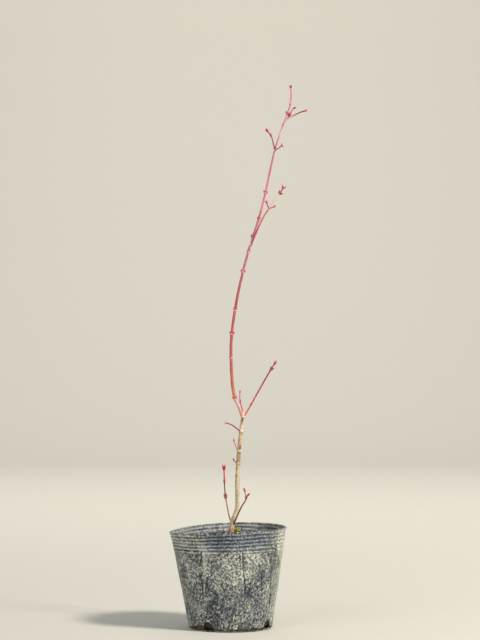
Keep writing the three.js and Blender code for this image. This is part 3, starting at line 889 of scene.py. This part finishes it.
# Strokes of mud: features per mm along each axis, how both ways are turned in degrees, and lines in a swirl
STROKE_SCALE = (0.22, 0.7, 1.15)
STROKE_TURNS = [(20, 42, 25), (-20, -48, 35)]
SWIRL_LINES = 6.5

# Tints of the film by how much mud lies on it, from none to a full crust
FILM_TINTS = [
    (0, (28, 31, 34)), (0.28, (56, 61, 66)), (0.47, (90, 97, 102)), (0.56, (152, 151, 142)),
    (0.78, (194, 189, 170)), (1, (232, 226, 204)),
]
COOL_SHADE = (226, 240, 255)
RUBBED_SHEEN_BLUE = (122, 134, 150)
DARK_EARTH = (34, 29, 22)
BROWN_EARTH = (84, 70, 50)
CLAY = (152, 136, 112)


def film_marks(film):
    """Strokes of dried mud on the film: two slanting ways in turn, with faint swirls over them."""
    rising, falling = (film.noise(STROKE_SCALE, 2, 0.6, 0.3, film.turned(turn)) for turn in STROKE_TURNS)
    patches = film.span(film.noise((0.055, 0.055, 0.045), 2), 0.46, 0.54)
    strokes = rising * patches + falling * (1 - patches)
    swirl = film.math("SINE", film.noise((0.15, 0.15, 0.11), 3, 0.45, 0.4) * (SWIRL_LINES * 2 * math.pi))
    broken = swirl * film.span(film.noise((0.4, 0.4, 0.3), 2, 0.6), 0.38, 0.6)
    crowded = film.span(film.noise((0.09, 0.09, 0.07), 2, 0.6), 0.36, 0.64)
    return (strokes - 0.5) * (1.2 + crowded * 1.4) + broken * 0.12 + (crowded - 0.5) * 0.06


def pot_film():
    """Dull slate film, dusty and streaked with dried pale mud, with brown earth at the foot."""
    film = Finish("pot_film")
    broad = film.noise((0.05, 0.05, 0.03), 3, 0.6) - 0.5
    blots = film.noise((0.4, 0.4, 0.3), 3, 0.65, 0.8) - 0.5
    upright = film.span(film.noise((0.08, 0.08, 0.04), 2, 0.5), 0.4, 0.62, 0.6, 1.4)
    streaks = (film.noise((0.75, 0.75, 0.12), 3, 0.6) - 0.5) * upright
    specks = film.noise((0.9, 0.9, 0.9), 2, 0.6, 0.5) - 0.5
    bold = film.mark("bold")
    level = film.mark("mud") + broad * 0.55 + film_marks(film) * bold + blots * 0.7 + streaks * 0.6
    # The rib mark paints highlights on the crests and shade between them, over dust on the crests.
    level = level + specks * bold * 1.7 + film.mark("rib") * 0.21 + film.mark("chalk") * 0.36
    # Painted shade in the sunken creases and along the front of the rim.
    level = level - film.mark("groove") * 0.5
    cool = film.span(film.noise((0.5, 0.5, 0.35), 3, 0.6), 0.4, 0.6)
    colour = film.mix(cool * 0.75, film.ramp(level, FILM_TINTS), COOL_SHADE, "MULTIPLY")
    # Painted blue sky highlight on the front ribs, which are rubbed clean of mud.
    rubbed = film.mark("rubbed") * film.span(level, 0.3, 0.6, 0, 0.7)
    brown = film.mix(film.span(blots, -0.12, 0.16), DARK_EARTH, BROWN_EARTH)
    earth = film.mix(film.mark("clay"), brown, CLAY)
    soiled = film.span(film.mark("earth") + blots * 0.8, 0.42, 0.58)
    colour = film.layered(colour, [(rubbed, RUBBED_SHEEN_BLUE), (soiled, earth)])
    height = film.span(level, 0.45, 0.95) * 0.8 + specks * 0.8
    return film.finish(colour, film.span(level, 0.1, 0.8, 0.5, 0.85), height, 0.3, specular=0.35)


def soil_finish(name, dark, light, depth):
    soil = Finish(name)
    clod = soil.noise((0.42, 0.42, 0.42), 5, 0.65)
    colour = soil.mix(soil.span(clod, 0.35, 0.68), dark, light)
    return soil.finish(colour, soil.span(clod, 0.3, 0.7, 0.8, 0.98), clod, depth, specular=0.2)


def moss_finish():
    moss = Finish("moss_green")
    tone = moss.noise((0.7, 0.7, 0.5), 3, 0.6)
    tips = moss.mix(moss.span(tone, 0.35, 0.65), (112, 104, 14), (204, 190, 34))
    # Darker towards the cushion's base by its rise: painted shade of its lower part.
    colour = moss.mix(moss.span(moss.mark("rise"), 0.15, 0.6), (46, 36, 14), tips)
    return moss.finish(colour, moss.span(tone, 0.3, 0.7, 0.6, 0.8), tone, 0.05, sheen=0.3)


# Pot

# Steps between the film's rows in mm: on the plain wall, over the ribs, inside, and below the soil inside
PLAIN_STEP = 1.15
RIB_STEP = 0.3
INNER_STEP = 0.45
HIDDEN_STEP = 6

# Heights at which the wall's rows start and end
WALL_FROM = 4.4
WALL_TO = 99.4

# Heights between which the ribs and the dents fade in, are full and fade out
RIB_ZONE = (78.5, 80, 98.2, 99.4)
DENTED_ZONE = (3, 12, 97, 100)

# Soft creases down the film: angle at mid-height, lowest and highest point, how far they stand out, and width
CREASES = [
    (240.6, 12, 84, 0.3, 1.0), (237.8, 30, 84, -0.3, 0.9), (264, 40, 80, 0.12, 1.2),
    (284.5, 48, 83, 0.25, 0.9), (286.8, 40, 83, -0.5, 0.9), (309.5, 38, 66, -0.5, 0.9),
    (325, 20, 78, -0.25, 1.3), (20, 24, 82, 0.25, 1.2), (64, 14, 70, -0.35, 1.0),
    (98, 30, 84, 0.3, 1.1), (141, 20, 80, -0.35, 1.2), (176, 26, 78, 0.25, 1.0),
    (208, 18, 72, -0.25, 1.2),
]

# Creases stand straighter than the wall's own slope: degrees per mm of height at the pot's sides
CREASE_SLANT = 0.19

# Dents of the film, and puckers over them, as for the bumps of the bark
DENTS = [(0.55, (30, 30, 46), 2), (0.16, (7, 7, 11), 2)]
PUCKERS = [(0.07, (2.6, 2.6, 3.2), 2)]

# Waves round the film of the ribs' height and of how far they stand out: how much, how many, and their start
RIB_WAVES = [(0.3, 3, 0.7), (0.16, 8, 0), (0.08, 21, 0)]
RIB_PRESSES = [(0.14, 5, 0), (0.1, 13, 0)]

# Patches with more or less mud: angle, height, half width in degrees, half height, and how much
BARE_MUD = 0.485
MUD_PATCHES = [
    (208, 92, 30, 9, 0.22), (243, 86, 7, 5, 0.26), (246, 81, 5, 3, 0.2), (215, 62, 24, 24, 0.1),
    (352, 60, 16, 60, 0.32), (334, 88, 8, 14, 0.3), (268, 30, 26, 14, -0.1), (268, 64, 26, 20, 0.12),
    (300, 77, 12, 7, 0.08), (312, 62, 10, 10, -0.12), (328, 78, 4, 12, -0.3), (240, 36, 20, 18, -0.17),
    (303, 46, 12, 12, -0.12), (270, 10, 60, 10, -0.07), (286, 36, 10, 9, -0.1), (272, 92, 32, 8, -0.08),
    (60, 60, 50, 30, 0.08), (140, 70, 46, 26, 0.1), (200, 45, 14, 40, -0.06),
]

# Parts of the wall by angle and half width in degrees, and heights between which a mark sets in. The ribs
# are rubbed bare in front, where they also take a painted blue sky highlight, and their painted crest
# highlights and groove shade show most on the left side and least on the right.
FRONT_DEG = 279
FRONT_FADE = (26, 42)
LEFT_SIDE = (215, 40)
RIGHT_SIDE = (338, 26)
CLAY_ABOVE = (30, 50)
RUBBED_SHEEN_ABOVE = (79, 90)
RIM_SHADE_HEIGHTS = (100, 100.7)

# Where the earth at the foot stands higher: by how much, at what angle, and its half width in degrees
EARTH_TOP = 2.2
EARTH_RISES = [(3.4, 228, 22), (1.5, 330, 30), (1.6, 90, 60)]
EARTH_PATCH = (339, 68, 7, 9, 0.53)

# No lump lies over a drain notch, which reaches so high and so far to each side
NOTCH_TOP = 13
NOTCH_HALF_DEG = 9.5

# Patches of crust on the wall: angle, height, their half sizes, lumps, and the lumps' least and most width
CRUST_PATCHES = [
    (338, 68, 7, 8, 170, 0.5, 1.6), (346, 54, 9, 20, 100, 0.4, 1.1), (180, 2, 180, 2.4, 420, 0.4, 1.2),
    (228, 4, 14, 5, 60, 0.5, 1.4),
]
FLECK_PATCHES = [
    (243, 88, 5, 5, 40, 0.4, 1.0), (270, 60, 90, 34, 170, 0.3, 0.8), (90, 56, 90, 34, 150, 0.3, 0.8),
    (346, 84, 8, 12, 60, 0.4, 1.0),
]

# Lumps of mud: how rough, their spans of length and breadth, the lowest height, and the half width above
# which a patch is filled evenly
LUMP_ROUGH = 0.2
LUMP_SPANS = ((0.6, 1.1), (0.7, 1.2))
LOWEST_LUMP = 1.2
WIDE_PATCH_DEG = 60


def wall_radius(height):
    return BASE_RADIUS + WALL_SLOPE * height


def rib_heights():
    return [POT_HEIGHT - FIRST_RIB_BELOW_RIM - k * RIB_PITCH for k in range(RIB_COUNT)]


def pot_rows():
    """Radius and height of each row of the bare film: underside, wall, lip, wall inside and floor."""
    corner_at = wall_radius(CORNER_RADIUS) - CORNER_RADIUS
    corner = [(out, 1 + up) for out, up in arc(-90, 1, 15)]
    plain_top = rib_heights()[-1] - 2
    heights = [*np.arange(WALL_FROM, plain_top, PLAIN_STEP), *np.arange(plain_top, WALL_TO, RIB_STEP)]
    lip = [
        (RIM_RADIUS - LIP_WIDTH / 2 * (1 - out), POT_HEIGHT - LIP_HEIGHT / 2 * (1 - up))
        for out, up in arc(-20, 201, 20)
    ]
    inner_heights = [
        *np.arange(WALL_TO - 0.1, SOIL_EDGE - 3, -INNER_STEP),
        *np.arange(SOIL_EDGE - 4, WALL_FROM - 0.2, -HIDDEN_STEP),
    ]
    inner_corner = CORNER_RADIUS - WALL
    return [
        *[(out, 0) for out in np.linspace(3, corner_at - 0.5, 14)],
        *[(corner_at + CORNER_RADIUS * out, CORNER_RADIUS * up) for out, up in corner],
        *[(wall_radius(height), height) for height in heights],
        *lip,
        *[(wall_radius(height) - WALL, height) for height in inner_heights],
        *[(corner_at + inner_corner * out, WALL + inner_corner * up) for out, up in corner[::-2]],
        *[(out, WALL) for out in np.linspace(corner_at - 0.5, 3, 10)],
    ]


def pot_shell():
    """Points and faces of the bare film pot, with its drain holes cut."""
    shell = mesh_object("shell", *closed_rings(lathed(pot_rows(), POT_SIDES), (0, 0, 0), (0, 0, WALL)))
    cutter = drain_cutter()
    cut = shell.modifiers.new("drains", "BOOLEAN")
    cut.operation = "DIFFERENCE"
    cut.solver = "MANIFOLD"
    cut.object = cutter
    whole = shell.evaluated_get(bpy.context.evaluated_depsgraph_get())
    mesh = whole.to_mesh()
    points = np.array([v.co for v in mesh.vertices])
    faces = [tuple(face.vertices) for face in mesh.polygons]
    whole.to_mesh_clear()
    for spent in (shell, cutter):
        bpy.data.objects.remove(spent)
    return points, faces


def bar(radius, sides=40):
    """A round bar along +Z, centred on the origin."""
    half = CUTTER_LENGTH / 2
    return Shape(*closed_rings(lathed([(radius, -half), (radius, half)], sides), (0, 0, -half), (0, 0, half)))


def drain_cutter():
    """All the drain holes' cutters as one object: slanted bars at the corner, upright ones in the floor."""
    parts = []
    slant = math.radians(DRAIN_SLANT_DEG)
    up = np.array([0, 0, 1.0])
    for k in range(DRAIN_COUNT):
        turn = FIRST_DRAIN_DEG + 360 * k / DRAIN_COUNT
        outward = level_unit(turn)
        at = outward * DRAIN_AT_RADIUS + up * DRAIN_AT_HEIGHT
        parts.append(placed(bar(DRAIN_RADIUS), at, up * math.cos(slant) - outward * math.sin(slant), outward))
        hole = bar(FLOOR_HOLE_RADIUS)
        parts.append(hole.at(hole.points + level_unit(turn + 180 / DRAIN_COUNT) * FLOOR_HOLE_AT_RADIUS))
    whole = joined(parts)
    return mesh_object("drain_cutter", whole.points, whole.faces)


def waves(angles, parts):
    return sum(high * np.sin(count * np.radians(angles) + start) for high, count, start in parts)


def rib_crests(angles, height):
    """1 on each rib's crest, down to 0 between the ribs, which wander a little round the soft film."""
    level = height + waves(angles, RIB_WAVES)
    return sum(bell(level, rib, RIB_HALF_WIDTH * 0.85) for rib in rib_heights())


def crease_line(angles, height, middle, low, high, fade, width):
    """A crease's share at each point. It wanders a little as it rises, and fades in and out."""
    slant = CREASE_SLANT * (height - POT_HEIGHT / 2) * np.cos(math.radians(middle))
    wander = 0.8 * np.sin(height / 11 + middle)
    across = np.radians(angle_from(angles, middle + wander - slant)) * wall_radius(height)
    return bell(across, 0, width) * band(height, low, low + 10, high - fade, high)


def film_relief(points, angles):
    """How far the film stands out from its true wall: ribs, creases, dents and puckers."""
    height = points[:, 2]
    wall = band(height, *DENTED_ZONE)
    pressed = 0.8 + waves(angles, RIB_PRESSES)
    relief = pressed * RIB_DEPTH * rib_crests(angles, height) - RIB_GROOVE * band(height, *RIB_ZONE)
    for middle, low, high, rise, width in CREASES:
        relief += rise * crease_line(angles, height, middle, low, high, 8, width)
    plain = 1 - 0.6 * smoothstep(height, 79, 84)
    return relief + wall * (plain * bumps(points, DENTS) + bumps(points, PUCKERS))


def mud_amount(angles, height):
    amount = np.full(len(angles), BARE_MUD)
    for middle, level, width, tall, strength in MUD_PATCHES:
        amount += strength * round_bell(angles, middle, width) * bell(height, level, tall)
    return amount


def earth_amount(points, angles, height):
    """Brown earth: a ragged band at the foot, and a patch on the right."""
    edge = EARTH_TOP * (1 + rough_noise(points, (9, 9, 60)))
    edge += sum(rise * round_bell(angles, middle, width) for rise, middle, width in EARTH_RISES)
    foot = 1 - smoothstep(height, edge - 1.2, edge + 1.4)
    middle, level, width, tall, strength = EARTH_PATCH
    return np.maximum(foot, strength * round_bell(angles, middle, width) * bell(height, level, tall))


def crease_marks(angles, height):
    """Pale rubbed crests, and painted shade in the sunken creases, each from 0 to 1."""
    marks = {True: np.zeros(len(angles)), False: np.zeros(len(angles))}
    for middle, low, high, rise, width in CREASES:
        line = crease_line(angles, height, middle, low, high, 4, width * 0.8) * min(1, abs(rise) / 0.35)
        marks[rise > 0] = np.maximum(marks[rise > 0], line)
    return marks[True], marks[False]


def settled(points):
    """The soft pot's set: it leans evenly, and its rim tilts and bows above the soil."""
    x, y, z = points.T
    outward = smoothstep(np.hypot(x, y), LEVEL_RADIUS + 1, BASE_RADIUS)
    sag = outward * (np.maximum(z, 0) / POT_HEIGHT) ** SAG_POWER
    bow = -RIM_SADDLE * np.cos(2 * np.arctan2(y, x))
    return np.stack([x + LEAN_PER_MM * z, y, z + sag * (RIM_TILT * x + bow)], axis=-1)


def make_pot():
    points, faces = pot_shell()
    x, y, height = points.T
    out = np.hypot(x, y)
    angles = np.degrees(np.arctan2(y, x)) % 360
    inner = (out < wall_radius(height) - WALL / 2) & (height > WALL / 2)
    relief = film_relief(points, angles) * (out > BASE_RADIUS * 0.9)
    scale = np.minimum(out + relief, RIM_RADIUS - 0.01) / np.maximum(out, 1)
    chalk, groove = crease_marks(angles, height)
    zone = band(height, *RIB_ZONE)
    front = 1 - smoothstep(np.abs(angle_from(angles, FRONT_DEG)), *FRONT_FADE)
    left = round_bell(angles, *LEFT_SIDE) * ~inner
    # How much the ribs' painted highlight and shade show round the pot: least on the right side, most on the
    # left.
    even = 1 - 0.8 * round_bell(angles, *RIGHT_SIDE) * ~inner + 0.5 * left
    # Painted shade along the top of the rim at the front.
    rim_shade = 0.5 * smoothstep(height, *RIM_SHADE_HEIGHTS) * smoothstep(-y, 0, 20)
    marks = {
        "mud": mud_amount(angles, height) + 0.1 * inner,
        "earth": earth_amount(points, angles, height) * ~inner,
        "clay": smoothstep(height, *CLAY_ABOVE),
        "bold": (1 + 0.4 * left - 0.4 * zone * (0.4 + 0.6 * front)) * np.where(inner, 0.6, 1),
        # Rib crests lighter and the hollows between them darker: dust on the crests, and painted highlight
        # and shade.
        "rib": (1.7 * rib_crests(angles, height) - 0.8) * zone * even,
        # Front ribs rubbed clean, which take a painted blue sky highlight; some of it lies inside too.
        "rubbed": (front * ~inner * smoothstep(height, *RUBBED_SHEEN_ABOVE) + 0.4 * inner) * zone,
        "chalk": chalk * ~inner,
        # Painted shade in the sunken creases and on the front of the rim.
        "groove": np.maximum(groove * ~inner, rim_shade),
    }
    shape = Shape(settled(np.stack([x * scale, y * scale, height], axis=-1)), faces, **marks)
    make_piece("pot_film", shape, [pot_film()], ["pot"])


def in_drain(angle, height):
    """Whether a place on the wall lies over a drain notch."""
    aside = abs(angle_from((angle - FIRST_DRAIN_DEG) % (360 / DRAIN_COUNT), 0))
    return height < NOTCH_TOP and min(aside, 360 / DRAIN_COUNT - aside) < NOTCH_HALF_DEG


def wall_lumps(patches, flat):
    """Lumps dealt over patches of the wall, sunk a little into the film."""
    grain = ball(1)
    lumps = []
    for middle, level, half_turn, half_height, count, least, most in patches:
        for _ in range(count):
            wide = half_turn > WIDE_PATCH_DEG
            angle = middle + half_turn * (fine.uniform(-1, 1) if wide else fine.normal() * 0.5)
            height = max(level + half_height * fine.normal() * 0.5, LOWEST_LUMP)
            size = least + (most - least) * fine.random() ** 2
            if in_drain(angle % 360, height):
                continue
            outward = level_unit(angle)
            corner = CORNER_RADIUS - math.sqrt(CORNER_RADIUS**2 - max(CORNER_RADIUS - height, 0) ** 2)
            bare = outward * (wall_radius(height) - corner) + np.array([0, 0, height])
            bare += outward * film_relief(bare[None], np.array([angle % 360]))[0]
            lump = roughened(grain, LUMP_ROUGH, size, *LUMP_SPANS, (flat, flat))
            lumps.append(placed(lump, settled(bare[None])[0], outward, (0, 0, 1)))
    return joined(lumps)


# Mud that stands out: its patches and flatness, then its finish with the dark and light tint and the bump
MUD = {
    "mud_crust": (CRUST_PATCHES, 0.45, "mud_brown", (72, 58, 44), (160, 136, 108), 0.1),
    "mud_flecks": (FLECK_PATCHES, 0.35, "mud_pale", (176, 168, 142), (216, 208, 182), 0.1),
}


def make_mud():
    for name, (patches, flat, *finish) in MUD.items():
        make_piece(name, wall_lumps(patches, flat), [soil_finish(*finish)])


# Soil

# The bed under the crumbs: its clods, as for the bumps of the bark, and how deep the crumbs cover it
SOIL_SIDES = 200
SOIL_INSET = WALL + GAP
SOIL_REACH = wall_radius(SOIL_EDGE) - SOIL_INSET
CLODS = [(0.75, 5, 4), (0.35, 1.6, 2)]
CRUMB_COVER = 0.9
CRUMB_SINK = 0.75

# What lies on the soil: how many, least and most width, flatness, how finely each is divided and roughness,
# then its finish with the dark and light tint and the bump
CRUMBS = {
    "soil_crumbs": ((5200, 0.7, 3.0, 0.8, 1, 0.22), "crumb_dark", (42, 33, 27), (86, 67, 50), 0.2),
    "soil_grit": ((900, 0.8, 2.8, 0.85, 1, 0.16), "crumb_tan", (112, 92, 68), (172, 150, 114), 0.15),
    "bark_chips": ((330, 2.2, 6.5, 0.28, 2, 0.12), "chip_bark", (58, 42, 32), (112, 82, 58), 0.2),
}


def soil_height(out):
    """Height of the soil's mound by distance from the middle."""
    heights = [SOIL_TOP, SOIL_TOP, SOIL_SHOULDER, SOIL_EDGE]
    return np.interp(out, [0, LEVEL_RADIUS, SHOULDER_RADIUS, SOIL_REACH], heights)


def make_soil_bed():
    """The filled body of the pot: a rough mound above, plain sides and floor."""
    radii = [*np.linspace(0.6, SOIL_REACH - 0.6, 78), SOIL_REACH - 0.15]
    rows = [
        *[(out, SOIL_INSET) for out in np.linspace(2, 36, 8)],
        *[(wall_radius(height) - SOIL_INSET, height) for height in np.linspace(6, SOIL_EDGE - 1.5, 12)],
        *[(out, soil_height(out) - CRUMB_COVER) for out in radii[::-1]],
    ]
    foot, top = (0, 0, SOIL_INSET), (0, 0, SOIL_TOP - CRUMB_COVER)
    points, faces = closed_rings(lathed(rows, SOIL_SIDES), foot, top)
    points[:, 2] += smoothstep(points[:, 2], 86, 90) * np.minimum(bumps(points, CLODS), CRUMB_COVER)
    finish = soil_finish("soil_dark", (38, 30, 24), (80, 62, 46), 0.5)
    make_piece("soil_bed", Shape(settled(points), faces), [finish], ["potting_soil"])


def scattered(count, least, most, flat, subdivisions, rough):
    """Lumps dealt evenly over the soil, each with its own size, turn and flatness."""
    grain = ball(subdivisions)
    lumps = []
    for k in range(count):
        size = least + (most - least) * fine.random() ** 2.2
        out = (SOIL_REACH - size) * math.sqrt((k + fine.random()) / count)
        turn = k * GOLDEN_ANGLE + fine.uniform(-0.4, 0.4)
        lump = roughened(grain, rough, size, (1, 1), (0.55, 1), (0.7 * flat, 1.2 * flat))
        tilt = Matrix.Rotation(fine.uniform(-0.5, 0.5), 3, "X")
        spin = Matrix.Rotation(fine.uniform(0, 2 * math.pi), 3, "Z")
        at = (out * math.cos(turn), out * math.sin(turn), soil_height(out) - CRUMB_SINK + 0.1 * size)
        lumps.append(lump.at(lump.points @ np.array(tilt @ spin) + at))
    whole = joined(lumps)
    return whole.at(settled(whole.points))


def make_soil_crumbs():
    for name, (lumps, *finish) in CRUMBS.items():
        make_piece(name, scattered(*lumps), [soil_finish(*finish)])


# Moss: looser than in the solids, with narrower lumps under its leaflets

MOSS_SPREAD = 1.35
LUMP_SHARE = (0.86, 0.86, 0.93)
LEAFLETS_PER_LUMP = 420
LEAFLET_LENGTHS = (0.22, 0.5)


def make_moss():
    """A cushion of small lumps, covered in pointed leaflets that stand out of it."""
    dome = ball(3)
    upper = dome.points * (1, 1, 0.5) + (0, 0, 0.5)
    lumps, leaves, centres = [], [], []
    for k in range(MOSS_LUMPS):
        high = MOSS_HEIGHT * (1 - MOSS_DROP * (k / MOSS_LUMPS) ** 2) * draw(1 - MOSS_SIZE_SPREAD, 1)
        size = np.array([MOSS_LUMP_RADIUS, MOSS_LUMP_RADIUS, high]) * LUMP_SHARE
        out = (MOSS_RADIUS - MOSS_LUMP_RADIUS) * math.sqrt(k / (MOSS_LUMPS - 1)) * MOSS_SPREAD
        at = level_unit(math.degrees(k * GOLDEN_ANGLE)) * out + (*MOSS_AT, SOIL_TOP)
        rough = 0.86 + 0.14 * rough_noise(upper * size + at, 0.8)
        lumps.append(dome.at(upper * rough[:, None] * size + at))
        centres.append((at, size))
    for at, size in centres:
        for _ in range(LEAFLETS_PER_LUMP):
            around, rise = level_unit(math.degrees(fine.uniform(0, 2 * math.pi))), fine.uniform(0.1, 1)
            flat = math.sqrt(1 - (2 * rise - 1) ** 2) if rise > 0.5 else 1
            normal = around * flat + (0, 0, 1.2 * (rise - 0.35))
            root = at + (around * flat + (0, 0, rise)) * size
            leaves.append(leaflet(root, normal, fine.uniform(*LEAFLET_LENGTHS)))
    shape = joined(lumps + leaves)
    # Height over the soil, by which the moss finish paints shade towards the base.
    shape.marks["rise"] = (shape.points[:, 2] - SOIL_TOP) / MOSS_HEIGHT
    make_piece("moss_cushion", shape, [moss_finish()], ["moss_tuft"])


def leaflet(root, normal, length):
    """One leaflet: a thin closed blade, folded a little along its middle."""
    edge, fold = ((0.2, 0, 0.35), (-0.2, 0, 0.35)), ((0, 0.1, 0.4), (0, -0.05, 0.4))
    points = length * np.array([(0, 0, 0), edge[0], fold[0], edge[1], fold[1], (0, 0, 1)], float)
    points[0, 2] = -0.1
    faces = [(0, 1, 2), (0, 2, 3), (0, 3, 4), (0, 4, 1), (5, 2, 1), (5, 3, 2), (5, 4, 3), (5, 1, 4)]
    return placed(Shape(points, faces), root, normal, fine.normal(size=3))


# Trunk, leader, boughs and twigs


def trunk_stub(trunk, height, turn, length, radius):
    """A dead stub: a short rough bar that leans up from the trunk's middle line."""
    at = trunk.at_height(height)
    along, outward = trunk.outward(at, math.radians(turn))
    root, reach = trunk.at(at), trunk.radius(at) + length
    path = [root, root + outward * reach * 0.6 + along * 0.3, root + outward * reach + along * 0.9]
    stub = Stem(dict(path=path, foot=radius * 1.3, tip=radius * 0.8))
    shape = stem_skin(stub, *STUB_RINGS, no_relief)
    shape.marks["along"] = np.full(len(shape.points), at / trunk.length)
    shape.marks["scar"] = np.full(len(shape.points), 0.5)
    return shape


def make_limbs():
    trunk, leader = STEMS["trunk"], STEMS["leader"]
    tints = stops_by_height(trunk, TRUNK_TINTS)
    beige = stem_bark("trunk_bark", tints, *TRUNK_MOTTLE, mottle=0.75, roughness=0.62, depth=0.12)
    tints = stops_by_height(leader, LEADER_TINTS)
    red = stem_bark("leader_bark", tints, *LEADER_MOTTLE, roughness=0.36, depth=0.05, coat=0.15)
    stubs = [trunk_stub(trunk, *stub) for stub in TRUNK_STUBS]
    skin = joined([stem_skin(trunk, *TRUNK_RINGS, trunk_relief), *stubs])
    skin.points[:, 2] = np.maximum(skin.points[:, 2], SOIL_TOP - 0.6)
    make_piece("trunk_skin", skin, [beige], ["trunk"])
    skin = stem_skin(leader, *LEADER_RINGS, leader_relief)
    make_piece("leader_skin", skin, [red], ["leader"])
    for name, colours in BOUGH_TINTS.items():
        tints = [(k / (len(colours) - 1), colour) for k, colour in enumerate(colours)]
        bark = stem_bark(name + "_bark", tints, *BOUGH_MOTTLE, roughness=0.34, coat=0.15)
        skin = stem_skin(STEMS[name], *BOUGH_RINGS, twig_relief)
        make_piece(name + "_skin", skin, [bark], [name])


def twig_skin(stem, names):
    """A twig's skin, with each face in the material of the length between collars that it lies on."""
    skin = stem_skin(stem, *TWIG_RINGS, twig_relief)
    tints = stem.spec["tints"].split()
    for number, face in enumerate(skin.faces):
        passed = sum(skin.marks["along"][face[0]] * stem.length > collar for collar in stem.collars)
        skin.materials[number] = names.index(tints[min(passed, len(tints) - 1)])
    return skin


def make_masses(barks):
    """Each mass: its stem and the shoots on it, with its buds gathered by tint."""
    names = list(barks)
    for name, (main_stem, *shoots) in MASSES.items():
        shared = dict(tip=main_stem["tip"], phase=main_stem["phase"] + SHOOT_TURN_DEG)
        stems = [Stem(spec) for spec in (main_stem, *(shared | shoot for shoot in shoots))]
        for stem in stems:
            grow_buds(stem, name, stem.spec["bud_tints"].split())
        whole = joined([twig_skin(stem, names) for stem in stems])
        used = sorted(set(whole.materials))
        whole.materials = [used.index(k) for k in whole.materials]
        make_piece(name + "_stems", whole, [barks[names[k]] for k in used], [name])


def make_buds():
    for tint, shapes in sorted(buds.items()):
        root, middle, tip = BUD_TINTS[tint]
        scales = bud_finish("bud_scales_" + tint, root, middle, tip)
        core = bud_finish("bud_core_" + tint, root, root, tip)
        make_piece("buds_" + tint, joined(shapes), [scales, core])


def make_plant():
    make_limbs()
    barks = {}
    for tint, (colour, pale, dark) in TWIG_TINTS.items():
        stops = [(0, colour), (1, colour)]
        barks[tint] = stem_bark("twig_" + tint, stops, pale, dark, roughness=0.38, depth=0.03, coat=0.15)
    grow_buds(STEMS["leader"], "leader", ["coral"])
    grow_buds(STEMS["side_bough"], "side_bough", ["scarlet"])
    make_masses(barks)
    make_buds()


# Camera, light and floor, in metres

# Lights: place, size, power, colour and what they are aimed at
LIGHTS = {
    "key": ((1.55, -1.15, 1.75), 0.45, 74, (1.0, 0.95, 0.87), (0, 0, 0.25)),
    "fill": ((-1.4, -1.7, 0.9), 1.4, 14, (0.93, 0.96, 1.0), (0, 0, 0.25)),
    "backdrop": ((0, 1.4, 2.6), 2.0, 70, (1.0, 0.97, 0.92), (0, 4.4, 0.5)),
}
SKY = (0.86, 0.92, 1.0, 1)
SKY_STRENGTH = 0.42

# Floor: where it starts and bends up, the bend's radius, the backdrop's top and half the width
FLOOR_FROM = -5
BEND_AT = 3.0
BEND = 1.4
BACKDROP_TOP = 7.0
FLOOR_HALF = 6


def make_camera():
    data = bpy.data.cameras.new("camera")
    data.sensor_width = SENSOR
    data.lens = FOCAL_PIXELS / FRAME_HEIGHT_PIXELS * SENSOR
    data.clip_end = 20
    camera = linked("camera", data)
    camera.location = np.array(CAMERA_AT) * MM
    camera.rotation_euler = (math.radians(90 + CAMERA_PITCH_DEG), 0, 0)
    bpy.context.scene.camera = camera


def make_lights():
    for name, (at, size, power, colour, target) in LIGHTS.items():
        data = bpy.data.lights.new(name, "AREA")
        data.size = size
        data.energy = power
        data.color = colour
        light = linked(name, data)
        light.location = at
        light.rotation_euler = (Vector(target) - Vector(at)).to_track_quat("-Z", "Y").to_euler()


def make_floor():
    """A pale floor that curves up into a plain backdrop."""
    profile = [(FLOOR_FROM, 0), (0, 0), (BEND_AT, 0)]
    profile += [(BEND_AT + BEND * up, BEND - BEND * out) for out, up in arc(7.5, 91, 7.5)]
    profile.append((BEND_AT + BEND, BACKDROP_TOP))
    points = [(x, y, z) for y, z in profile for x in (-FLOOR_HALF, FLOOR_HALF)]
    faces = [(2 * k, 2 * k + 1, 2 * k + 3, 2 * k + 2) for k in range(len(profile) - 1)]
    floor = mesh_object("floor", points, faces)
    floor.data.materials.append(Finish("floor_pale").finish((205, 201, 190), 0.9, specular=0.1))


def make_world():
    world = bpy.data.worlds.new("world")
    world.use_nodes = True
    shade = world.node_tree.nodes["Background"]
    shade.inputs["Color"].default_value = SKY
    shade.inputs["Strength"].default_value = SKY_STRENGTH
    bpy.context.scene.world = world
    bpy.context.scene.view_settings.view_transform = "Standard"


def main():
    make_camera()
    make_world()
    make_floor()
    make_lights()
    make_pot()
    make_mud()
    make_soil_bed()
    make_soil_crumbs()
    make_moss()
    make_plant()


main()
